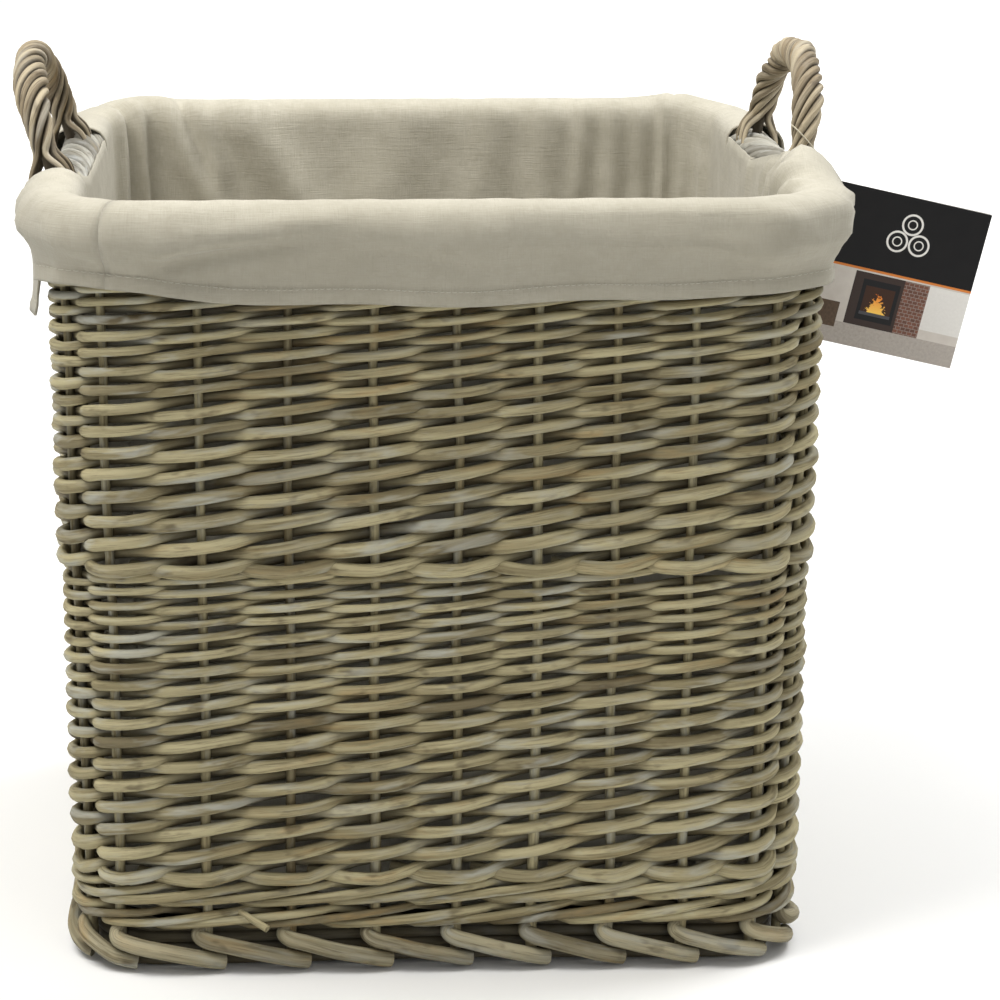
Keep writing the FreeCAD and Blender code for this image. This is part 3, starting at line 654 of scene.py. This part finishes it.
def handle(side):
    """A handle: a bent rod, and seven thinner ones twisted round it whose ends spread over the rim."""
    root, lean, around, tone, out, shade = HANDLES[side]
    sign = 1 if side == "right" else -1
    line, outward = handle_line(sign, root, math.radians(lean))
    path, at = resample(line, 3 * MM)
    first = int(np.argmax(path[:, 2] > RIM_MIDDLE + 18 * MM))
    span = np.arange(first, len(path) - first)
    crown = np.sin(math.pi * np.linspace(0, 1, len(span))).clip(0, 1)
    path[span, 2] -= 2.4 * MM * crown ** 2
    bow = Build()
    core = 2.9 * MM + 1.4 * MM * unit((path[:, 2] - RIM_MIDDLE - 14 * MM) / (14 * MM))
    # out=-0.9 paints shade on the core, deep inside the twist
    bow.tube(path, core, outward, 10, 0.3, 3.0, out=-0.9)
    bow.piece("bow_rod_" + side, HANDLE_WILLOW, "basket", "handle_willow", "handle_bow_" + side)

    build = Build()
    tangent = np.gradient(path, axis=0)
    tangent /= np.linalg.norm(tangent, axis=1, keepdims=True)
    across = np.cross(tangent, outward)
    for strand in range(STRANDS):
        phase = TAU * (strand / STRANDS + (at[span] - at[first]) / TWIST)
        swell = around * (1 + 0.12 * np.sin(at[span] * 90 + strand * 2.1) + 0.27 * np.sqrt(crown))
        radial = outward[None] * np.cos(phase)[:, None] + across[span] * np.sin(phase)[:, None]
        body = path[span] + radial * swell[:, None]
        tails = [strand_tail(body[end], body[end] - body[beside], radial[end, 1], radial[end] @ outward < 0.35,
                             sign, root, leg_y)
                 for end, beside, leg_y in ((0, 1, -LEG_HALF), (-1, -2, LEG_HALF))]
        whole = np.vstack([tails[0][::-1], body, tails[1]])
        count = len(tails[0])
        normals = np.pad(radial, ((count, count), (0, 0)), "edge")
        taper = np.concatenate([np.linspace(0.72, 1, count), swell / around, np.linspace(1, 0.72, count)])
        lightness = rod_tone(tone, 0.3)
        # out and shade paint shade on each strand's sides, in the grooves between the strands
        build.tube(whole, 1.88 * MM * taper * rng.uniform(0.86, 1.14), normals, 10, lightness, out=out, flat=1.12,
                   shade=shade)
    build.piece("rope_strands_" + side, HANDLE_WILLOW, "basket", "handle_willow", "handle_wrap_" + side)


handle("left")
handle("right")


# ---- the liner

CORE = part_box("liner_cuff_front")[1].x - 63 * MM
NOTCH = 99.5 * MM
FLOOR_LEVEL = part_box("liner_floor")[1].z


def middle_distance(along, side):
    """Distance along from the middle of a side, signed."""
    return short_way(along - (side + 0.5) * SIDE)


def hem_level(along):
    """Height of the cuffs' hem: a little higher at the corners, lower on the left flap."""
    corner = np.abs((along / SIDE + 0.5) % 1.0 - 0.5) * SIDE
    near_right = hump(along / SIDE - 1.0, 0.2)
    z = 361.5 * MM + (7.0 - 5.0 * near_right) * MM * hump(corner, 42 * MM)
    z = z + 1.3 * MM * np.sin(along * 5 * ROUND + 1.0) + 0.8 * MM * np.sin(along * 13 * ROUND)
    left = middle_distance(along, 3)
    flap = unit((150 * MM - left) / (28 * MM)) * (left > 0)
    return z - 22 * MM * ease(flap)


SEAMS = (0.052, 1.052, 2.052, 3.015)
ROUND = TAU / LAP


def liner_grid():
    """Where the liner's columns stand round the basket, and the three parts of its profile."""
    columns = 461
    along = SEAMS[0] * SIDE + np.arange(columns) / (columns - 1) * LAP
    # bend and height down the profile: wall, roll over the rim, cuff
    wall_levels = np.concatenate([np.linspace(FLOOR_LEVEL, 340 * MM, 46), np.linspace(345 * MM, 396 * MM, 12)])
    wall_bend = 25.8 * MM + (wall_levels - FLOOR_LEVEL) / (411.3 * MM - FLOOR_LEVEL) * 7.3 * MM
    roll = np.array([(33.2, 401), (34.2, 405.2), (36.8, 408.6), (41.0, 410.9), (46.0, 411.8), (51.0, 411.9),
                     (56.0, 411.0), (60.5, 409.0), (64.2, 405.8), (66.6, 401.4), (67.4, 396.4), (66.3, 391.4)]) * MM
    cuff_share = np.linspace(0, 1, 15)[1:]
    return along, wall_levels, wall_bend, roll, cuff_share


def ridge(a, v, a0, v0, a1, v1, width, height):
    """A soft fold along a line on the cloth, with tapering ends; the distance round the basket wraps."""
    a = short_way(a - a0)
    da, dv = a1 - a0, v1 - v0
    length = math.hypot(da, dv)
    share = (a * da + (v - v0) * dv) / length ** 2
    off = (a * dv - (v - v0) * da) / length
    ends = unit((share + 0.12) / 0.2) * unit((1.12 - share) / 0.4)
    return height * ease(ends) * hump(off, width)


# Folds placed as in the photo. Each row is (side, level, side, level, width, height): the fold runs from one
# place to the other. Sides count corners from the front left one; levels are in millimetres from the wall's
# top, or from its foot where they are 100 or more.
WALL_FOLDS = (
    # the long slack folds from the back left corner down the back wall
    (2.93, -10, 2.66, 205, 11, 10.5), (2.80, -12, 2.48, 215, 15, 10.5),
    (2.912, 2, 2.84, -60, 3.2, -4.0), (2.885, 2, 2.81, -64, 5.5, 4.5),
    (3.015, 0, 3.025, -190, 1.5, -3.6), (3.045, -4, 3.05, -170, 6, 5.0), (2.985, -4, 2.975, -150, 5, 4.0),
    # pleats in the right half of the back wall
    (2.06, -9, 2.075, 250, 6, 3.5), (2.11, -9, 2.10, 230, 7, 4.5), (2.155, -9, 2.16, 270, 8, 5.0),
    (2.2, -9, 2.225, 300, 7, 4.0), (2.275, -9, 2.26, 200, 12, 5.5), (2.36, -9, 2.4, 280, 14, 3.5),
    (2.5, -9, 2.56, 240, 17, 3.5),
    # pleats at the near right corner, and a crease under the right handle
    (1.1, -2, 1.17, 250, 6, 5.5), (1.17, -2, 1.24, 290, 5, 5.5), (1.235, -2, 1.30, 270, 5, 5.5),
    (1.30, -2, 1.36, 310, 4, 5.5), (1.497, -12, 1.5, 300, 1.8, -2.6), (1.48, -14, 1.475, 290, 5, 3.0),
)
CUFF_FOLDS = (
    # the slack line across the left of the front cuff
    (0.11, 44, 0.36, 27, 4.0, -3.6), (0.09, 33, 0.38, 17, 6, 3.9), (0.02, 34, 0.09, 44, 4, 1.5),
    # the right half of the front cuff and the flap beside the tag
    (0.70, 20, 0.96, 26, 3.5, -1.8), (0.58, 12, 0.92, 14, 5, 1.6), (0.93, 8, 1.0, 40, 4, 2.2),
    (1.03, 8, 1.09, 34, 4, -1.8), (0.80, 28, 0.97, 40, 5, 1.6), (0.86, 22, 0.98, 28, 4, -1.4),
    # the flap under the left handle
    (3.93, 10, 4.0, 34, 4, -2.0), (3.84, 12, 3.88, 40, 4, 1.8), (3.8, -8, 3.9, 16, 3.5, -2.2),
)


def folds(a, v, top_v, table):
    """The ridges of a table of folds, added up."""
    lift = 0.0
    for a0, v0, a1, v1, width, height in table:
        levels = [level * MM + (top_v if level < 100 else 0.0) for level in (v0, v1)]
        lift = lift + ridge(a, v, a0 * SIDE, levels[0], a1 * SIDE, levels[1], width * MM, height * MM)
    return lift


def liner():
    """The cloth liner as one sheet: a closed floor, the walls, the roll over the rim and the hanging cuffs."""
    dice = np.random.default_rng(21)

    def some(low, high):
        return dice.uniform(low, high) * MM

    along, wall_z, wall_bend, roll, cuff_share = liner_grid()
    columns = len(along)
    n_wall, n_roll = len(wall_z), len(roll)
    roll_bend, roll_z = roll[:, :1], roll[:, 1:]
    share = cuff_share[:, None]
    level = np.ones((1, columns))
    z = np.vstack([wall_z[:, None] * level, roll_z * level, roll_z[-1] + (hem_level(along) - roll_z[-1]) * share])
    cuff_bend = (59.2 + 7.1 * (1 - share) ** 2.6 - 0.6 * np.sin(math.pi * share)) * MM
    bend = np.vstack([wall_bend[:, None], roll_bend, cuff_bend]) * level
    a = np.repeat(along[None], len(z), 0)
    # the left flap hangs looser
    right, left = middle_distance(along, 1), middle_distance(along, 3)
    loose = np.clip((150 * MM - left) / (50 * MM), -0.2, 1)
    loose = np.where(left > 0, unit(loose) * 7 - 2.5 * (loose > -0.2), 0)
    cuff = slice(n_wall + n_roll, None)
    bend[cuff] += loose * MM * share ** 1.3
    # the flap beside the tag is drawn in tighter
    tight = ease(unit((along / SIDE - 0.93) / 0.11) * unit((1.5 - along / SIDE) / 0.1))
    drawn = 3.2 * MM * unit((405.5 * MM - roll_z) / (9 * MM))
    drawn = drawn - 1.2 * MM * hump(roll_z - 407 * MM, 5 * MM)
    bend[n_wall:n_wall + n_roll] -= tight * drawn * (roll_bend > 50 * MM)
    bend[cuff] -= tight * (3.2 + 0.6 * unit(share * 2.5)) * MM

    # where the cloth is cut away round the handles, its edge stands at the top of the wall
    in_notch = ((right > -NOTCH) & (right < 91 * MM)) | ((left < NOTCH) & (left > -88 * MM))
    # it lies level, then climbs to the flap beside the tag's leg, and a little to the near left one
    lip = np.where(np.abs(right) < NOTCH, unit(-right / (94 * MM)) ** 1.15, 0)
    lip = lip + np.where(np.abs(left) < NOTCH, 0.5 * unit((left - 55 * MM) / (44 * MM)) ** 1.5, 0)
    edge = 404.2 * MM + 17.2 * MM * lip
    top = slice(n_wall - 12, n_wall)
    high = wall_z[-12]
    climb = ((wall_z[top] - high) / (wall_z[-1] - high))[:, None]
    z[top, in_notch] = high + climb * (edge[in_notch] - high)
    bend[top, in_notch] += (1.5 + 6.5 * lip[in_notch]) * MM * climb ** 5

    # distance along the cloth from the wall's foot, which the folds and the threads follow
    v = np.zeros_like(z)
    v[1:] = np.cumsum(np.hypot(np.diff(bend, axis=0), np.diff(z, axis=0)), axis=0)
    flap_lump = 0.0
    for gap, height in ((-right, 1.5), (left, 0.4)):
        lump = hump(gap - 103 * MM, 17 * MM) * height
        flap_lump = flap_lump + np.where(in_notch, 0, lump)
    over = unit(1 - np.abs(bend - 47 * MM) / (22 * MM)) * (z > 385 * MM)
    z = z + 9.5 * MM * flap_lump * over ** 0.7
    # the back stands a little higher, with soft peaks at its corners
    behind = unit((SIDE / 2 + 25 * MM - np.abs(middle_distance(along, 2))) / (50 * MM))
    z = z + 2.6 * MM * behind * over ** 0.7
    for corner, shift in ((2, 16 * MM), (3, -14 * MM)):
        gap = short_way(along - corner * SIDE - shift)
        z = z + 3.6 * MM * hump(gap, 17 * MM) * over ** 0.7

    grid = round_square(a, z, bend, CORE)[0]
    down = np.gradient(grid, axis=0)
    across = np.roll(grid, -1, 1) - np.roll(grid, 1, 1)
    across[:, 0] = across[:, -1] = grid[:, 1] - grid[:, -2]
    # the normal faces the middle of the basket on the walls and outward on the cuffs
    normal = np.cross(down, across)
    normal /= np.linalg.norm(normal, axis=2, keepdims=True) + 1e-12
    lift = np.zeros_like(z)
    top_v = v[n_wall + 4].mean()
    # long slack folds down the inside walls, and gathers beside each corner seam
    for _ in range(26):
        a0, v0, length = dice.uniform(0, LAP), some(0, 250), some(90, 240)
        lean = dice.normal(0, 0.35)
        lift += ridge(a, v, a0, v0, a0 + lean * length, min(v0 + length, top_v - 8 * MM), some(7, 16), some(1.5, 4.5))
    for corner in np.repeat(np.arange(4), 4):
        a0, v0 = corner * SIDE + some(-34, 34), some(120, 230)
        lift += ridge(a, v, a0, v0, a0 + some(-12, 12), top_v - 10 * MM, some(4, 8), some(1.5, 4.0))
    lift += folds(a, v, top_v, WALL_FOLDS)
    lift *= unit(v / (18 * MM)) * unit((top_v - 2 * MM - v) / (12 * MM))

    # small creases all over the cuffs, and more at their corners
    cuff_mask = unit((v - top_v - 4 * MM) / (16 * MM))
    soft = folds(a, v, top_v, CUFF_FOLDS)
    for _ in range(44):
        a0, v0 = dice.uniform(0, LAP), top_v + some(14, 52)
        reach = some(25, 90) * dice.choice([-1, 1])
        soft += ridge(a, v, a0, v0, a0 + reach, v0 + some(-10, 12), some(4, 9), some(-1.3, 1.4))
    for corner in np.repeat(np.arange(4), 3):
        a0, v0 = corner * SIDE + some(-40, 40), top_v + some(12, 30)
        soft += ridge(a, v, a0, v0, a0 + some(-14, 14), top_v + 75 * MM, some(4, 8), some(0.8, 2.0))
    wave = 0.8 * MM * np.sin(a * 8 * ROUND + 2 * np.sin(a * 2 * ROUND)) + 0.5 * MM * np.sin(a * 16 * ROUND + v * 30)
    lift += (soft + wave) * cuff_mask

    # fine puckers everywhere
    lift += 0.28 * MM * np.sin(a * 43 * ROUND + 3 * np.sin(v * 60)) * np.sin(v * 140 + 2 * np.sin(a * 10 * ROUND))
    # sewn seams: one near each corner, on the cuff and on the wall
    for place, depth in zip(SEAMS, (0.22, 0.9, 0.9, 0.9)):
        gap = np.abs(short_way(a - place * SIDE))
        lift -= depth * MM * hump(gap, 1.5 * MM)
        lift += 0.33 * depth * MM * hump(gap - 5 * MM, 4 * MM)
    # the turned hem is double cloth
    from_hem = v[-1] - v
    lift += 0.7 * MM * unit((8 * MM - from_hem) / (1.5 * MM)) * (v > top_v)
    lift -= 0.5 * MM * hump(from_hem - 8.4 * MM, 1.6 * MM) * (v > top_v)
    grid = grid + normal * lift[..., None]

    # the floor of the liner closes the wall's foot
    floor_rows = 16
    share = (np.arange(floor_rows) / floor_rows)[:, None]
    spread = 1 - (1 - share) ** 1.6
    flat_floor = grid[:1] * [1, 1, 0] * spread[..., None] + [0, 0, FLOOR_LEVEL]
    bump = 0.8 * MM * np.sin(flat_floor[..., 0] * 60) * np.sin(flat_floor[..., 1] * 47)
    flat_floor[..., 2] += 0.9 * MM + bump * (1 - share)
    rows_all = np.concatenate([flat_floor, grid])
    # the threads follow the cloth; on the floor they follow x and y, and start away from the walls' ones
    cloth = np.concatenate([flat_floor * [1, 1, 0] + [0, 3.0, 0], np.dstack([a, v, 0 * v])])
    quads = grid_faces(len(rows_all), columns, closed=False)
    keep = np.ones(quads.shape[:2], bool)
    last_wall = floor_rows + n_wall - 1
    keep[last_wall:, in_notch[:-1] | in_notch[1:]] = False
    build = Build()
    build.add(rows_all, [quads[keep]], cloth)
    piece = build.piece("liner_cloth", CALICO, "liner", "cloth", "liner_floor", "liner_wall_front",
                        "liner_wall_right", "liner_wall_back", "liner_wall_left", "liner_cuff_front",
                        "liner_cuff_back")
    thick = piece.modifiers.new("thick", "SOLIDIFY")
    thick.thickness = 1.1 * MM
    thick.offset = -1.0
    return piece, grid, normal, v, in_notch


liner_cloth, liner_points, liner_normal, liner_v, liner_notch = liner()


def hem_stitches():
    """A row of small stitches 8 mm above the cuffs' hem."""
    build = Build()
    line = {}
    for column in np.nonzero(~liner_notch)[0]:
        target = liner_v[-1, column] - 7.6 * MM
        row = int(np.searchsorted(liner_v[:, column], target))
        low, high = liner_v[row - 1:row + 1, column]
        share = (target - low) / (high - low)
        line[column] = liner_points[row - 1, column] * (1 - share) + liner_points[row, column] * share, row
    for column, (p, row) in line.items():
        if column + 1 not in line:
            continue
        q, n = line[column + 1][0], liner_normal[row, column]
        start, stop = p * 0.86 + q * 0.14, p * 0.14 + q * 0.86
        middle = (start + stop) / 2
        path = np.array([start - n * 0.25 * MM, middle + n * 0.3 * MM, stop - n * 0.25 * MM])
        build.tube(path, 0.28 * MM, n, 5, 0.6, 0.0)
    return build.piece("hem_stitches", THREAD, "liner", "cloth")


THREAD = plain("thread", (0.46, 0.435, 0.355), 0.85)
stitches = hem_stitches()


# ---- the swing tag

TAG_SIDE = 86.5 * MM
TAG_INSET = 7 * MM
TAG_HOLE = 2.4 * MM
TAG_TILT = math.radians(13.0)
TAG_PLACE = np.array([224.7, -75.0, 394.1]) * MM


def printed_card():
    """The tag's print: a dark upper half with a small pile of log ends, a thin line, and a stove in a pale room."""
    n = Nodes("printed_card")
    card = n.node("ShaderNodeSeparateXYZ", {0: n.attribute("rod", "Vector")})
    u, v, leaf = card.outputs[0], card.outputs[1], card.outputs[2]

    def either(*shapes):
        whole = shapes[0]
        for shape in shapes[1:]:
            whole = n.math("MAXIMUM", whole, shape)
        return whole

    def block(u0, u1, v0, v1):
        across = n.times(n.math("GREATER_THAN", u, u0), n.math("LESS_THAN", u, u1))
        return n.times(across, n.times(n.math("GREATER_THAN", v, v0), n.math("LESS_THAN", v, v1)))

    def ring_mark(cu, cv, radius, width):
        du, dv = n.math("SUBTRACT", u, cu), n.math("SUBTRACT", v, cv)
        far = n.math("SQRT", n.math("ADD", n.times(du, du), n.times(dv, dv)))
        return n.math("LESS_THAN", n.math("ABSOLUTE", n.math("SUBTRACT", far, radius)), width)

    place = n.node("ShaderNodeCombineXYZ", {0: u, 1: v, 2: 0.0}).outputs[0]
    soft = n.noise(place, 9.0, 3.0, 0.6)
    fine = n.noise(place, 60.0, 3.0, 0.6)
    dark = n.mix(soft, (0.004, 0.004, 0.0045), (0.008, 0.0075, 0.0075))
    wall = n.mix(soft, (0.5, 0.45, 0.4), (0.68, 0.64, 0.58))
    rug = n.mix(fine, (0.3, 0.27, 0.24), (0.52, 0.47, 0.42))
    brick = n.node("ShaderNodeTexBrick", {"Vector": place, "Color1": (0.2, 0.085, 0.055), "Scale": 16.0,
                                          "Color2": (0.12, 0.055, 0.04), "Mortar": (0.28, 0.23, 0.2),
                                          "Mortar Size": 0.03, "Row Height": 0.35}).outputs["Color"]
    waver = n.math("ADD", u, n.map(fine, 0.3, 0.7, -0.03, 0.03))
    beside = n.math("ABSOLUTE", n.math("SUBTRACT", waver, 0.44))
    height = n.map(v, 0.64, 0.765, 0.0, 0.06)
    flame = n.times(n.math("LESS_THAN", beside, height), block(0.355, 0.525, 0.64, 0.765))
    # the floor, brick, the stove from surround to glass, its flame and grate, a pale panel and a box of logs
    room = n.layers(wall,
                    (block(0.0, 1.0, 0.86, 1.01), rug), (block(0.58, 0.74, 0.52, 0.86), brick),
                    (block(0.26, 0.58, 0.52, 0.86), (0.045, 0.03, 0.025)),
                    (block(0.32, 0.56, 0.56, 0.82), (0.012, 0.012, 0.013)),
                    (block(0.345, 0.535, 0.6, 0.77), (0.05, 0.022, 0.012)),
                    (flame, n.mix(n.map(v, 0.64, 0.76), (0.85, 0.2, 0.02), (1.0, 0.62, 0.12))),
                    (block(0.34, 0.54, 0.765, 0.785), (0.07, 0.07, 0.08)),
                    (block(0.74, 1.0, 0.52, 0.8), n.mix(fine, (0.66, 0.64, 0.6), (0.76, 0.74, 0.7))),
                    (block(0.05, 0.21, 0.74, 0.9), n.mix(fine, (0.04, 0.03, 0.02), (0.16, 0.1, 0.06))))
    log_ends = [ring_mark(cu, cv, radius, width) for radius, width in ((0.062, 0.0065), (0.028, 0.004))
                for cu, cv in ((0.46, 0.29), (0.6, 0.29), (0.53, 0.17))]
    front = n.layers(dark, (either(*log_ends), (0.72, 0.7, 0.66)), (n.math("GREATER_THAN", v, 0.505), room),
                     (block(-0.01, 1.01, 0.495, 0.51), (0.62, 0.2, 0.04)))
    paper = n.mix(fine, (0.6, 0.58, 0.54), (0.66, 0.64, 0.6))
    # leaf is 0 on the print, 1 on the dark back and 2 on the bare paper
    colour = n.layers(front, (n.math("GREATER_THAN", leaf, 0.5), dark), (n.math("GREATER_THAN", leaf, 1.5), paper))
    return n.finish(colour, n.map(fine, 0.3, 0.7, 0.3, 0.4), Specular_IOR_Level=0.22,
                    Normal=n.bump(fine, 0.05 * MM, 0.3))


def tag():
    """Two card leaves joined along the fold at the left, the back one standing a little open."""
    build = Build()
    near, far = -TAG_INSET, TAG_SIDE - TAG_INSET
    angles = []
    corners = sorted(math.atan2(z, x) % TAU for z in (TAG_INSET, -far) for x in (near, far))
    for here, there in zip(corners, corners[1:] + [corners[0] + TAU]):
        count = max(6, int((there - here) / TAU * 96))
        angles += list(np.linspace(here, there, count, endpoint=False))
    angles = np.array(angles)
    c, s = np.cos(angles), np.sin(angles)
    reach = 1 / np.maximum(np.where(c > 0, c / far, c / near), np.where(s > 0, s / TAG_INSET, -s / far))
    share = np.linspace(0, 1, 18)[:, None] ** 1.3
    radius = TAG_HOLE + (reach - TAG_HOLE) * share
    x, z = radius * c, radius * s
    e = np.array([math.cos(TAG_TILT), 0, -math.sin(TAG_TILT)])
    up = np.array([math.sin(TAG_TILT), 0, math.cos(TAG_TILT)])
    count = len(angles)
    thick = 0.42 * MM
    # each leaf's place, how far it stands open, and the kinds of print on its front and its back
    for offset, open_up, front_kind, back_kind in ((-0.78, 0.0, 0.0, 2.0), (0.36, 2.6, 2.0, 1.0)):
        share_x = unit((x + TAG_INSET) / TAG_SIDE)
        bow = offset * MM + open_up * MM * share_x ** 1.4 + 0.35 * MM * np.sin(math.pi * share_x) * (-z / TAG_SIDE)
        front = TAG_PLACE + x[..., None] * e + z[..., None] * up + bow[..., None] * Y_WAY
        back = front + np.array([0, thick, 0])
        uv = np.stack([share_x, (TAG_INSET - z) / TAG_SIDE], -1)
        quads = grid_faces(len(uv), count).reshape(-1, 4)
        for surface, kind, step in ((front, front_kind, 1), (back, back_kind, -1)):
            build.add(surface, [quads[:, ::step]], np.dstack([uv, np.full(uv.shape[:2], kind)]))
        for row, step in ((0, 1), (-1, -1)):
            rim = np.stack([front[row], back[row]])
            rod = np.dstack([np.stack([uv[row], uv[row]]), np.full((2, count), 2.0)])
            build.add(rim, [grid_faces(2, count)[0, :, ::step]], rod)
    # the fold joins the leaves along the left edge
    z_line = np.linspace(TAG_INSET, -far, 24)
    arc = np.linspace(-math.pi / 2, math.pi / 2, 7)
    fold = (TAG_PLACE + (near - 0.55 * MM * np.cos(arc))[None, :, None] * e + z_line[:, None, None] * up
            + (0.78 * MM * np.sin(arc))[None, :, None] * Y_WAY)
    rod = np.zeros(fold.shape)
    rod[..., 1] = ((TAG_INSET - z_line) / TAG_SIDE)[:, None]
    quads = grid_faces(len(z_line), len(arc), closed=False).reshape(-1, 4)
    build.add(fold, [quads[:, ::-1]], rod)
    build.piece("folded_tag", printed_card(), "tag", "card", "tag_card", smooth=False)


tag()


def tie():
    """A thin loop, snug round the handle's near leg and down through the tag's hole."""
    half = through([(224.6, -75.0, 393.0), (222.6, -76.6, 397.0), (217.0, -80.6, 404.0), (210.0, -83.2, 413.0),
                    (202.5, -83.4, 423.0), (196.0, -80.4, 430.0), (193.4, -75.0, 432.4)], 5)
    back = half[::-1].copy()
    back[:, 1] = -150.0 - back[:, 1]
    loop = np.vstack([half, back[1:-1]]) * MM
    loop = np.vstack([loop, loop[:1]])
    build = Build()
    build.tube(loop, 0.42 * MM, (0.01, 0.01, 1.01), 8, 0.5, 0.0, caps=False)
    build.piece("tie_loop", plain("tie_cord", (0.5, 0.45, 0.33), 0.5), "basket", "tie", "tag_tie")


tie()


# ---- camera, light and floor

def stand_camera():
    """The camera, where the photo was taken from."""
    data = bpy.data.cameras.new("camera")
    data.sensor_width = 36.0
    data.lens = 112.8
    data.shift_x = 0.10
    camera = put("camera", data)
    camera.location = (-0.075, -1.741, 0.649)
    camera.rotation_euler = (math.radians(90 - 14.2), 0, math.radians(-2.02))
    bpy.context.scene.camera = camera


def area_light(name, place, target, size, power, colour=(1, 1, 1)):
    data = bpy.data.lights.new(name, "AREA")
    data.shape = "SQUARE"
    data.size = size
    data.energy = power
    data.color = colour
    light = put(name, data)
    light.location = place
    light.rotation_euler = (Vector(target) - Vector(place)).to_track_quat("-Z", "Y").to_euler()


def stage():
    """The pale floor, the world's light and the lamps."""
    bpy.ops.mesh.primitive_plane_add(size=60.0, location=(0, 0, 0))
    floor = bpy.context.object
    floor.name = "floor"
    n = Nodes("floor_paper")
    floor.data.materials.append(n.finish((0.86, 0.86, 0.85), 0.9))
    world = bpy.data.worlds.new("studio")
    world.use_nodes = True
    glow = world.node_tree.nodes["Background"].inputs
    glow["Color"].default_value = (1, 1, 1, 1)
    glow["Strength"].default_value = 0.48
    bpy.context.scene.world = world
    bpy.context.scene.view_settings.view_transform = "Standard"
    area_light("key", (-0.9, -0.42, 2.05), (0, 0, 0.2), 1.2, 43.0, (1.0, 0.985, 0.96))
    area_light("fill", (1.2, -2.2, 1.3), (0, 0, 0.2), 1.4, 7.0)
    area_light("back", (1.05, 0.6, 1.95), (-0.1, 0, 0.4), 1.2, 36.0)
    area_light("far_floor", (0.6, 3.5, 2.5), (0.8, 5.0, 0), 3.0, 150.0)


stand_camera()
stage()
